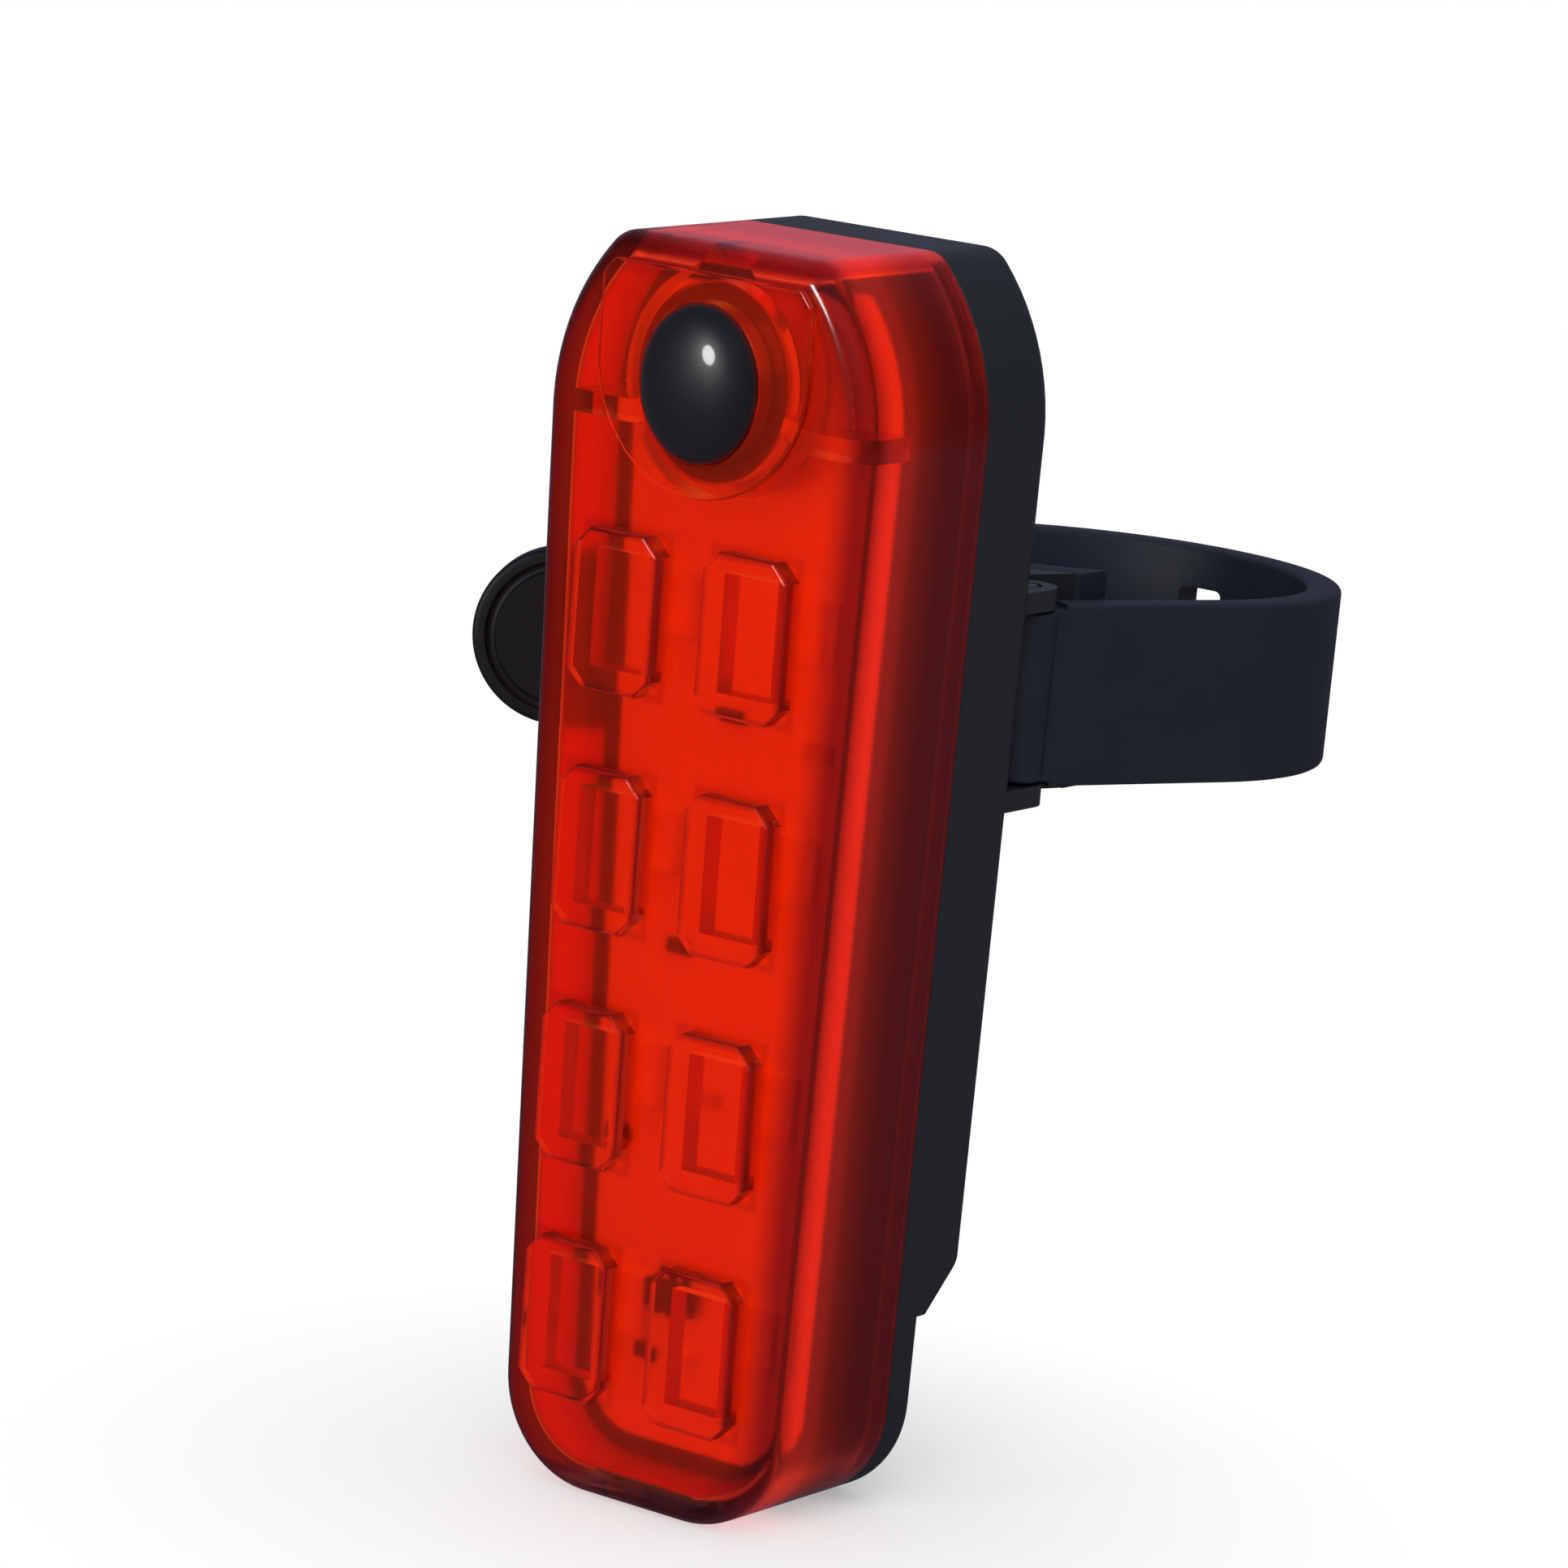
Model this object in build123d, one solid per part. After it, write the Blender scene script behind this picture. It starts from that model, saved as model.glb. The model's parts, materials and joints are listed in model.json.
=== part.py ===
"""Rear light for a bicycle, held to the seat post by a rubber strap. Sizes in millimetres.

X runs to the right as the lens is seen from behind the bicycle, Y runs from the lens
towards the post, and Z runs up. Depths are counted from the front face of the lens and
heights from the foot of the body. At the end every piece is moved so that the origin
lies on the axis of the seat post, at the middle of the strap.
"""
import os
from math import acos, asin, atan2, cos, degrees, hypot, radians, sin, sqrt

from build123d import *

# Outline of the body, seen from the front
body_height = 70.0
foot_half_width = 9.32
shoulder_half_width = 11.0
shoulder_drop = 9.7
shoulder_radius = 13.5
crown_corner_radius = 1.9
foot_corner_radius = 6.0

# Depths of the body
lens_depth = 10.8
body_depth = 16.8
lower_body_depth = 13.5
slope_least_height = 2.0
slope_steepness = 0.425
slope_top_drop = 2.2
seam_gap = 0.1
cut_overrun = 2.0

# Lens moulding
lens_front_wall = 1.5
lens_side_wall = 1.35
lens_edge_radius = 1.4
lens_inner_radius = 0.5

# Raised windows of the lens, two columns of four
window_columns = 2
window_rows = 4
window_width = 5.76
window_height = 8.86
window_corner = 1.0
window_rise = 1.1
window_wall = 1.25
window_edge_round = 0.22
window_column_offset = 4.39
top_window_drop = 20.4
lowest_window_height = 10.1
pocket_width = 3.6
pocket_height = 6.5

# Button, the raised field round it, and its collar inside the lens
button_drop = 7.4
button_hole_half_width = 4.0
button_hole_half_height = 4.45
button_hole_round = 0.25
button_clearance = 0.1
button_dome_rise = 1.5
button_travel = 0.4
flange_lip = 0.9
flange_thickness = 0.8
stem_radius = 1.5
field_half_width = 7.07
field_foot_drop = 13.6
field_rise = 0.5
field_edge_round = 0.18
collar_wall = 0.8
collar_length = 2.6
collar_clearance = 0.15
web_drop = 9.7
web_thickness = 1.25
web_length = 3.2

# Circuit board and what is soldered on its front
board_front = 5.6
board_thickness = 1.0
board_clearance = 0.1
led_width = 2.8
led_height = 3.5
led_thickness = 0.75
led_cup_radius = 1.15
led_cup_depth = 0.2
resistor_width = 0.8
resistor_length = 1.6
resistor_thickness = 0.45
driver_width = 2.9
driver_height = 1.6
driver_thickness = 1.1
driver_leg_width = 0.4
driver_leg_reach = 0.5
driver_leg_thickness = 0.2
driver_leg_pitch = 0.95
driver_offset = -1.1
driver_place_height = 11.3
indicator_width = 0.8
indicator_length = 1.6
indicator_thickness = 0.6
indicator_chamfer = 0.15
indicator_offset = -0.45
indicator_place_height = 7.7

# Push switch under the button
switch_side = 4.5
switch_thickness = 1.6
switch_corner = 0.5
plunger_radius = 1.2
plunger_reach = 0.7
plunger_clearance = 0.05
plunger_gap = 0.06
snap_dome_thickness = 0.1
snap_dome_radius = 1.5

# Charging socket on the back of the board
socket_height = 5.0
socket_width = 7.6
socket_thickness = 2.7
socket_length = 5.5
socket_wall = 0.25
socket_corner = 0.7
tongue_width = 4.2
tongue_thickness = 0.65
tongue_setback = 0.6
socket_base_length = 1.2
charger_width = 2.9
charger_height = 1.6
charger_thickness = 1.1
charger_place_height = 26.0
charger_offset = 0.0

# Battery, its tape and its guard board
battery_width = 12.4
battery_top_drop = 17.8
battery_clearance = 1.9
battery_round_share = 0.28
battery_foot_height = 19.2
tape_thickness = 0.8
tape_margin = 1.5
guard_height = 2.6
guard_thickness_share = 0.44
guard_margin = 0.8
lead_radius = 0.45
lead_spacing = 5.0
lead_drop = 4.9
lead_bend_share = 0.45

# Rear housing
housing_wall = 1.4
housing_edge_radius = 1.1
collar_thickness = 1.0
collar_side_clearance = 0.1
rest_width = 0.9
rest_thickness = 1.0
rib_thickness = 1.0
rib_depth = 3.2
rib_clearance = 0.4

# Seal in the seam
seal_width = 0.7
seal_depth = 1.0

# Port in the back of the housing and its rubber cover
port_clearance = 0.3
port_recess = 0.4
cover_half_width = 5.2
cover_half_height = 2.15
cover_corner = 2.05
cover_rise = 0.95
cover_edge_round = 0.75
cover_clearance = 0.12
cover_plug_depth = 0.8
tether_half_height = 1.3
tether_thickness = 0.9
tether_end_offset = 6.9
tether_stem_radius = 0.7
tether_bulb_radius = 0.95
tether_bulb_length = 0.8
tether_clearance = 0.03
bulb_clearance = 0.1
lip_length = 1.0
lip_thickness = 0.6

# Seat post and saddle
post_radius = 12.7
post_setback = 20.2
strap_drop = 24.7
saddle_height = 12.2
saddle_half_width = 7.9
saddle_root_half_width = 6.5
saddle_taper_setback = 4.4
pad_thickness = 2.0
pad_half_width = 8.2
pad_groove_count = 5
pad_groove_width = 0.9
pad_groove_depth = 0.5

# Strap
strap_width = 9.5
strap_thickness = 2.2
strap_edge_round = 0.6
pin_offset = 8.6
pin_setback = 2.2
pin_radius = 0.8
pin_clearance = 0.05
pin_chamfer = 0.2
eye_wall = 0.9
eye_clearance = 0.08
lug_radius = 1.7
lug_clearance = 0.15
hook_offset = 9.0
hook_setback = 6.1
hook_along = 1.5
hook_height = 2.0
hook_root = 2.35
hook_reach = 1.1
hook_round = 0.4
slot_along = 2.9
slot_height = 2.8
slot_round = 0.4
slot_pitch = 6.6
slot_count = 4
first_slot_share = 0.5
slot_forward = 0.6
bend_lead = 1.8
bend_radius = 1.65
tab_angle = 212.0
tab_reach = 17.0
tab_radius = 4.9
tab_droop = 4.0
tab_root = 0.5
tab_rim = 0.7
tab_rim_depth = 0.25

# Depths and heights that follow from the sizes above
shoulder_height = body_height - shoulder_drop
button_height = body_height - button_drop
field_foot_height = body_height - field_foot_drop
web_height = body_height - web_drop
top_window_height = body_height - top_window_drop
window_row_pitch = (top_window_height - lowest_window_height) / (window_rows - 1)
battery_height = body_height - battery_top_drop - battery_foot_height
guard_foot_height = battery_foot_height - guard_height
slope_top_height = guard_foot_height - slope_top_drop
slope_height = slope_least_height + slope_steepness * (body_depth - lower_body_depth)
slope_foot_height = slope_top_height - slope_height
lead_end_height = guard_foot_height - lead_drop
strap_height = body_height - strap_drop
post_depth = body_depth + post_setback
saddle_taper_depth = body_depth + saddle_taper_setback
pin_depth = body_depth + pin_setback
hook_depth = body_depth + hook_setback
board_back = board_front + board_thickness
housing_front = lens_depth + seam_gap
back_inside = body_depth - housing_wall
lower_back_inside = lower_body_depth - housing_wall
battery_front = board_back + charger_thickness + battery_clearance
battery_back = back_inside - tape_thickness
battery_middle = (battery_front + battery_back) / 2
battery_thickness = battery_back - battery_front
guard_thickness = guard_thickness_share * battery_thickness
collar_outset = lens_side_wall + collar_side_clearance
board_pocket_inset = collar_outset + collar_thickness
board_inset = board_pocket_inset + board_clearance
rest_inset = board_pocket_inset + rest_width
switch_front = board_front - switch_thickness
plunger_front = switch_front - plunger_reach
snap_dome_back = board_front - snap_dome_thickness
snap_dome_front = snap_dome_back - snap_dome_thickness
flange_front = lens_front_wall + button_clearance
flange_back = flange_front + flange_thickness
stem_back = plunger_front - plunger_gap
socket_back = board_back + socket_length
strap_inner_radius = post_radius
strap_outer_radius = post_radius + strap_thickness
strap_middle_radius = post_radius + strap_thickness / 2
eye_radius = pin_radius + eye_clearance + eye_wall
saddle_radius = post_radius + pad_thickness
cheek_depth = post_depth - sqrt(saddle_radius**2 - saddle_half_width**2)
tether_pivot_offset = tether_end_offset - tether_half_height
anchor_back = lower_back_inside - tether_bulb_length
window_columns_offsets = [
    (2 * column - (window_columns - 1)) * window_column_offset for column in range(window_columns)
]
window_row_heights = [top_window_height - row * window_row_pitch for row in range(window_rows)]
window_places = [(x, z) for x in window_columns_offsets for z in window_row_heights]

# Small parts on the front of the board: across as shares of the window column offset,
# the row of windows each lies above, and its share of the free strip up to the next row
resistor_places = [
    (0.0, 2, 0.62), (-0.58, 1, 0.6), (-1.36, 0, 0.81), (-0.62, -1, 0.96), (1.3, 2, 0.5), (0.0, 0, 1.17),
]

# Heights of the ribs that the board rests on, as shares of the body's height
rest_height_shares = [0.3, 0.55, 0.8]


def slab(face, front, back):
    """Thicken a face, drawn as width and height, from one depth to another."""
    return Rot(90, 0, 0) * Pos(0, 0, -back) * extrude(face, back - front)


def prism(face, foot, top):
    """Thicken a face, drawn as width and depth, from one height to another."""
    return Pos(0, 0, foot) * extrude(face, top - foot)


def front_edges(solid):
    """The edges round the face of a solid that lies nearest the viewer."""
    return solid.faces().sort_by(Axis.Y)[0].edges()


def back_edges(solid):
    """The edges round the face of a solid that lies furthest from the viewer."""
    return solid.faces().sort_by(Axis.Y)[-1].edges()


def body_outline(inset=0):
    """Flared sides, arched shoulders, a flat crown and a round-cornered foot."""
    arch_angle = asin((body_height - shoulder_height) / shoulder_radius)
    arch_centre = shoulder_half_width - shoulder_radius
    crown_half_width = arch_centre + shoulder_radius * cos(arch_angle)
    sides = Polyline(
        (-shoulder_half_width, shoulder_height),
        (-foot_half_width, 0),
        (foot_half_width, 0),
        (shoulder_half_width, shoulder_height),
    )
    right_arch = CenterArc((arch_centre, shoulder_height), shoulder_radius, 0, degrees(arch_angle))
    crown = Line((crown_half_width, body_height), (-crown_half_width, body_height))
    left_arch = CenterArc(
        (-arch_centre, shoulder_height), shoulder_radius, 180 - degrees(arch_angle), degrees(arch_angle)
    )
    face = make_face([sides, right_arch, crown, left_arch])
    face = fillet(face.vertices().group_by(Axis.Y)[-1], crown_corner_radius)
    face = fillet(face.vertices().group_by(Axis.Y)[0], foot_corner_radius)
    if inset:
        face = offset(face, -inset)
    return face


def rounded_bar(half_width, half_height, corner):
    """A rectangle with round corners, centred on the drawing's origin."""
    return RectangleRounded(2 * half_width, 2 * half_height, corner)


# The lens: a clear red moulding


def window_block(x, z):
    """One raised window with cut corners."""
    face = chamfer(Rectangle(window_width, window_height).vertices(), window_corner)
    block = slab(Pos(x, z) * face, -window_rise, lens_front_wall)
    return fillet(front_edges(block), window_edge_round)


def window_pocket(x, z):
    """The hollow behind a raised window."""
    face = Pos(x, z) * Rectangle(pocket_width, pocket_height)
    return slab(face, window_wall - window_rise, lens_front_wall + seam_gap)


def button_field():
    """The raised field that runs down from the crown and round under the button."""
    centre = field_foot_height + field_half_width
    reach = body_height - centre
    face = Pos(0, centre) * Circle(field_half_width)
    face += Pos(0, centre + reach / 2) * Rectangle(2 * field_half_width, reach)
    face &= body_outline(lens_edge_radius)
    field = slab(face, -field_rise, lens_front_wall)
    return fillet(front_edges(field), field_edge_round)


def button_ellipse(outset):
    """The button's ellipse, grown or shrunk, at its place on the face."""
    width = button_hole_half_width + outset
    return Pos(0, button_height) * Ellipse(width, button_hole_half_height + outset)


def lens_collar():
    """The collar that guides the button's flange, tied to the side walls by a web."""
    inner = flange_lip + collar_clearance
    back = lens_front_wall + collar_length
    collar = slab(button_ellipse(inner + collar_wall), lens_front_wall, back)
    room = body_outline(lens_side_wall)
    web_face = Pos(0, web_height) * Rectangle(2 * shoulder_half_width, web_thickness)
    web = slab(web_face & room, lens_front_wall, lens_front_wall + web_length)
    return collar + web, slab(button_ellipse(inner), lens_front_wall, back + web_length)


def lens_cover():
    """Shell of the lens with its windows, button field, collar and seal rebate."""
    shell = slab(body_outline(), 0, lens_depth)
    shell = fillet(front_edges(shell), lens_edge_radius)
    room = slab(body_outline(lens_side_wall), lens_front_wall, lens_depth + cut_overrun)
    room = fillet(front_edges(room), lens_inner_radius)
    shell -= room
    shell += button_field()
    for x, z in window_places:
        shell += window_block(x, z)
    for x, z in window_places:
        shell -= window_pocket(x, z)
    collar, flange_room = lens_collar()
    shell = shell + collar - flange_room
    hole = slab(button_ellipse(0), -cut_overrun, lens_front_wall + cut_overrun)
    shell -= hole
    rebate_inset = lens_side_wall - seal_width
    rebate = slab(body_outline(rebate_inset), lens_depth - seal_depth, lens_depth + cut_overrun)
    return shell - rebate


# Button and switch


def button_cap():
    """Rubber button: shallow dome, skirt, flange behind the lens, and stem."""
    half_width = button_hole_half_width - button_clearance
    half_height = button_hole_half_height - button_clearance
    rim = -field_rise
    dome = scale(Sphere(1), by=(half_width, button_dome_rise, half_height))
    dome = Pos(0, rim, button_height) * dome
    skirt = slab(button_ellipse(-button_clearance), rim, flange_back)
    flange = slab(button_ellipse(flange_lip), flange_front, flange_back)
    behind = slab(button_ellipse(flange_lip), rim + button_clearance, flange_back)
    stem = slab(Pos(0, button_height) * Circle(stem_radius), flange_front, stem_back)
    return (dome - behind) + skirt + flange + stem


def switch_body():
    """Square housing of the push switch, open at the front for its plunger."""
    face = chamfer(Rectangle(switch_side, switch_side).vertices(), switch_corner)
    body = slab(Pos(0, button_height) * face, switch_front, board_front)
    well = Pos(0, button_height) * Circle(snap_dome_radius)
    mouth = Pos(0, button_height) * Circle(plunger_radius + plunger_clearance)
    well_front = snap_dome_front - 2 * button_travel
    body -= slab(well, well_front, snap_dome_back)
    return body - slab(mouth, switch_front - cut_overrun, snap_dome_back)


def switch_plunger():
    """The pin that the button's stem pushes, down to just above the snap dome."""
    face = Pos(0, button_height) * Circle(plunger_radius)
    plunger_back = snap_dome_front - button_travel - plunger_clearance
    return slab(face, plunger_front, plunger_back)


def switch_snap_dome():
    """Thin metal dome on the floor of the switch."""
    disc = slab(Pos(0, button_height) * Circle(snap_dome_radius), snap_dome_front, snap_dome_back)
    return fillet(front_edges(disc), snap_dome_thickness / 2)


# Circuit board and its parts


def circuit_board():
    """Board that fills the lens behind the windows, cut round for the battery leads."""
    board = slab(body_outline(board_inset), board_front, board_back)
    for side in (-1, 1):
        hole = Pos(side * lead_spacing / 2, lead_end_height) * Circle(lead_radius)
        board -= slab(hole, board_front - cut_overrun, board_back - board_thickness / 2)
    return board


def led_packages():
    """One light emitter behind each window, with a shallow cup in its face."""
    front = board_front - led_thickness
    packages = []
    for x, z in window_places:
        body = slab(Pos(x, z) * Rectangle(led_width, led_height), front, board_front)
        cup = slab(Pos(x, z) * Circle(led_cup_radius), front - cut_overrun, front + led_cup_depth)
        packages.append(body - cup)
    return Compound(children=packages)


def board_resistors():
    """Small parts soldered between the windows."""
    strip = window_row_pitch - led_height - resistor_width
    parts = []
    for across, row, share in resistor_places:
        x = across * window_column_offset
        z = lowest_window_height + (row + 0.5) * window_row_pitch + (share - 0.5) * strip
        face = Pos(x, z) * Rectangle(resistor_length, resistor_width)
        parts.append(slab(face, board_front - resistor_thickness, board_front))
    return Compound(children=parts)


def leaded_chip(width, height, thickness, surface, side):
    """A chip with three legs on each long side, standing off a board's surface."""
    outer = surface + side * thickness
    near = surface + side * driver_leg_thickness
    chip = slab(Rectangle(width, height), min(near, outer), max(near, outer))
    leg_reach = height / 2 + driver_leg_reach
    for step in (-1, 0, 1):
        leg_face = Pos(step * driver_leg_pitch) * Rectangle(driver_leg_width, 2 * leg_reach)
        chip += slab(leg_face, min(surface, near), max(surface, near))
    return chip


def driver_chip():
    """The chip on the front of the board that makes the light flash."""
    chip = leaded_chip(driver_width, driver_height, driver_thickness, board_front, -1)
    return Pos(driver_offset, 0, driver_place_height) * chip


def charger_chip():
    """The chip on the back of the board that charges the battery."""
    chip = leaded_chip(charger_width, charger_height, charger_thickness, board_back, 1)
    return Pos(charger_offset, 0, charger_place_height) * chip


def charge_indicator():
    """Small lamp that shows through the lens while the battery charges."""
    face = Pos(indicator_offset, indicator_place_height) * Rectangle(indicator_length, indicator_width)
    lamp = slab(face, board_front - indicator_thickness, board_front)
    return chamfer(front_edges(lamp), indicator_chamfer)


def socket_face(inset):
    """Mouth of the charging socket: flat top, lower corners cut."""
    face = Rectangle(socket_width - 2 * inset, socket_thickness - 2 * inset)
    return Pos(0, socket_height) * chamfer(face.vertices().group_by(Axis.Y)[0], socket_corner)


def socket_shell():
    """Folded steel shell of the charging socket, standing on the back of the board."""
    shell = slab(socket_face(0), board_back, socket_back)
    return shell - slab(socket_face(socket_wall), board_back - cut_overrun, socket_back + cut_overrun)


def socket_tongue():
    """Plastic base and contact tongue inside the socket's shell."""
    base = slab(socket_face(socket_wall), board_back, board_back + socket_base_length)
    face = Pos(0, socket_height) * Rectangle(tongue_width, tongue_thickness)
    return base + slab(face, board_back, socket_back - tongue_setback)


# Battery


def battery_cell():
    """Flat pouch cell with rounded long edges."""
    face = Pos(0, battery_foot_height + battery_height / 2) * Rectangle(battery_width, battery_height)
    cell = slab(face, battery_front, battery_back)
    return fillet(cell.edges().filter_by(Axis.Z), battery_round_share * battery_thickness)


def battery_tape():
    """Foam tape that holds the cell to the back wall."""
    width = battery_width - 2 * tape_margin
    height = battery_height - 2 * tape_margin
    face = Pos(0, battery_foot_height + battery_height / 2) * Rectangle(width, height)
    return slab(face, battery_back, back_inside)


def guard_board():
    """The cell's small guard board, taped across its lower end."""
    width = battery_width - 2 * guard_margin
    face = Pos(0, battery_foot_height - guard_height / 2) * Rectangle(width, guard_height)
    return slab(face, battery_middle - guard_thickness / 2, battery_middle + guard_thickness / 2)


def battery_lead(side):
    """One insulated lead from the guard board, down and forward to the circuit board."""
    x = side * lead_spacing / 2
    start = (x, battery_middle, guard_foot_height)
    corner = (x, battery_middle, lead_end_height)
    end = (x, board_back, lead_end_height)
    bend = lead_bend_share * min(lead_drop, battery_middle - board_back)
    path = FilletPolyline(start, corner, end, radius=bend)
    section = Plane(origin=start, z_dir=(0, 0, -1)) * Circle(lead_radius)
    return sweep(section, path=path)


# Rear housing


def rear_profile():
    """Side view of what the deep part of the housing lacks, as depth and height."""
    far = body_depth + cut_overrun
    points = [
        (lens_depth, -cut_overrun),
        (lens_depth, slope_foot_height),
        (lower_body_depth, slope_foot_height),
        (body_depth, slope_top_height),
        (far, slope_top_height),
        (far, -cut_overrun),
    ]
    return make_face(Polyline(*points, close=True))


def across_body(face, half_width):
    """Thicken a side view, drawn as depth and height, across the body."""
    plane = Plane(origin=(-half_width, 0, 0), x_dir=(0, 1, 0), z_dir=(1, 0, 0))
    return extrude(plane * face, 2 * half_width)


def housing_tub():
    """The outer tub: a deep upper part that slopes down to a shallower lower part."""
    lower = slab(body_outline(), housing_front, lower_body_depth)
    lower = fillet(back_edges(lower), housing_edge_radius)
    upper = slab(body_outline(), housing_front, body_depth)
    upper = fillet(back_edges(upper), housing_edge_radius)
    upper -= across_body(rear_profile(), 2 * shoulder_half_width)
    return lower + upper


def housing_room():
    """The hollow of the housing: it follows the slope one wall thickness in."""
    slope = hypot(body_depth - lower_body_depth, slope_top_height - slope_foot_height)
    lift = housing_wall * (slope - (slope_top_height - slope_foot_height)) / (body_depth - lower_body_depth)
    room = slab(body_outline(board_pocket_inset), 0, back_inside)
    room += slab(body_outline(housing_wall), housing_front + housing_wall, back_inside)
    keep = make_face(
        Polyline(
            (lower_back_inside, -cut_overrun),
            (lower_back_inside, slope_foot_height + lift),
            (back_inside, slope_top_height + lift),
            (back_inside + cut_overrun, slope_top_height + lift),
            (back_inside + cut_overrun, -cut_overrun),
            close=True,
        )
    )
    return room - across_body(keep, 2 * shoulder_half_width)


def board_rests():
    """Ribs on both side walls that the back of the board rests on."""
    ring = body_outline(collar_outset) - body_outline(rest_inset)
    rests = []
    for share in rest_height_shares:
        bar = Pos(0, share * body_height) * Rectangle(2 * shoulder_half_width, rest_thickness)
        rests += slab(ring & bar, board_back, back_inside).solids()
    return rests


def battery_ribs():
    """Two upright ribs that keep the battery in the middle."""
    ribs = []
    height = battery_height / 2
    for side in (-1, 1):
        x = side * (battery_width / 2 + rib_clearance + rib_thickness / 2)
        face = Pos(x, battery_foot_height + battery_height / 2) * Rectangle(rib_thickness, height)
        ribs.append(slab(face, back_inside - rib_depth, body_depth - housing_wall / 2))
    return ribs


def saddle_floor(radius):
    """A round bar along the post's axis, as tall as the saddle and some more."""
    foot = strap_height - saddle_height
    return prism(Pos(0, post_depth) * Circle(radius), foot, foot + 2 * saddle_height)


def saddle_block():
    """The stout block behind the body that carries the pad, hook and lugs."""
    foot = strap_height - saddle_height / 2
    points = [
        (-saddle_root_half_width, body_depth - housing_wall / 2),
        (saddle_root_half_width, body_depth - housing_wall / 2),
        (saddle_root_half_width, saddle_taper_depth),
        (saddle_half_width, cheek_depth),
        (saddle_half_width, post_depth),
        (-saddle_half_width, post_depth),
        (-saddle_half_width, cheek_depth),
        (-saddle_root_half_width, saddle_taper_depth),
    ]
    block = prism(make_face(Polyline(*points, close=True)), foot, foot + saddle_height)
    return block + strap_hook() - saddle_floor(saddle_radius)


def pin_lugs():
    """Two ears above and below the strap's eye, with a hole for the pin."""
    thickness = (saddle_height - strap_width) / 2 - lug_clearance
    root = body_depth - housing_wall / 2
    ear = Pos(pin_offset, pin_depth) * Circle(lug_radius)
    reach = pin_depth - root
    ear += Pos(pin_offset, root + reach / 2) * Rectangle(2 * lug_radius, reach)
    bridge_width = pin_offset - saddle_root_half_width / 2
    ear += Pos(pin_offset - bridge_width / 2, root + reach / 2) * Rectangle(bridge_width, reach)
    ear -= Pos(pin_offset, pin_depth) * Circle(pin_radius + pin_clearance)
    foot = strap_height - saddle_height / 2
    top = strap_height + saddle_height / 2
    return [prism(ear, foot, foot + thickness), prism(ear, top - thickness, top)]


def port_place(face):
    """Move a face to the middle of the charging port."""
    return Pos(0, socket_height) * face


def tether_face(outset):
    """Outline of the cover's tether, from inside the cover to past its anchor."""
    length = tether_end_offset
    face = Pos(-length / 2, 0) * Rectangle(length, 2 * (tether_half_height + outset))
    return face + Pos(-length, 0) * Circle(tether_half_height + outset)


def cover_face(outset):
    """Outline of the cover itself."""
    return rounded_bar(cover_half_width + outset, cover_half_height + outset, cover_corner + outset)


def port_cuts():
    """The recess for the cover, the mouth for the plug and the hole for the anchor."""
    recess_floor = lower_body_depth - port_recess
    outline = cover_face(cover_clearance) + tether_face(cover_clearance)
    recess = slab(port_place(outline), recess_floor, body_depth)
    mouth = Rectangle(socket_width + 2 * port_clearance, socket_thickness + 2 * port_clearance)
    hole = slab(port_place(mouth), lower_back_inside - cut_overrun, body_depth)
    anchor = Pos(-tether_end_offset, socket_height)
    stem = slab(anchor * Circle(tether_stem_radius + tether_clearance), lower_back_inside, body_depth)
    bulb = anchor * Circle(tether_bulb_radius + bulb_clearance)
    return [recess, hole, stem, slab(bulb, anchor_back - bulb_clearance, lower_back_inside)]


def hook_frame():
    """The strap's middle line at the hook: where it is, and which way it runs."""
    angle = tangent_angle(-hook_offset, hook_depth, -1)
    return (-hook_offset, hook_depth), (-sin(angle), cos(angle))


def across_strap(point, along, length, height, corner, inner, outer):
    """A round-cornered bar that stands square to the strap, at a point of its middle line."""
    outward = (along[1], -along[0], 0)
    origin = (point[0] + outward[0] * inner, point[1] + outward[1] * inner, strap_height)
    plane = Plane(origin=origin, x_dir=(along[0], along[1], 0), z_dir=outward)
    return extrude(plane * RectangleRounded(length, height, corner), outer - inner)


def strap_hook():
    """The peg on the saddle's left cheek that the strap's slot drops over."""
    point, along = hook_frame()
    outer = strap_thickness / 2 + hook_reach
    return across_strap(point, along, hook_along, hook_height, hook_round, -hook_root, outer)


def rear_housing():
    """Tub, inner collar, ribs, saddle block, lugs and hook as one moulding."""
    housing = housing_tub()
    collar = slab(body_outline(collar_outset), board_front, housing_front + housing_wall)
    housing += collar
    housing -= housing_room()
    for rib in battery_ribs() + board_rests():
        housing += rib
    housing += saddle_block()
    for lug in pin_lugs():
        housing += lug
    for cut in port_cuts():
        housing -= cut
    return housing


def seal_ring():
    """Rubber seal that lies in the seam, round the housing's collar."""
    outer = body_outline(lens_side_wall - seal_width + collar_side_clearance / 2)
    inner = body_outline(collar_outset)
    return slab(outer - inner, lens_depth - seal_depth + collar_side_clearance / 2, housing_front)


def saddle_pad():
    """Rubber lining of the saddle, grooved across so that it grips the post."""
    foot = strap_height - saddle_height / 2
    ring = Pos(0, post_depth) * (Circle(saddle_radius) - Circle(post_radius))
    front_half = Pos(0, post_depth - saddle_radius / 2) * Rectangle(2 * pad_half_width, saddle_radius)
    pad = prism(ring & front_half, foot, foot + saddle_height)
    pitch = saddle_height / (pad_groove_count + 1)
    for step in range(pad_groove_count):
        middle = foot + (step + 1) * pitch
        groove = Pos(0, post_depth) * Circle(post_radius + pad_groove_depth)
        pad -= prism(groove, middle - pad_groove_width / 2, middle + pad_groove_width / 2)
    return pad


# Strap


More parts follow.
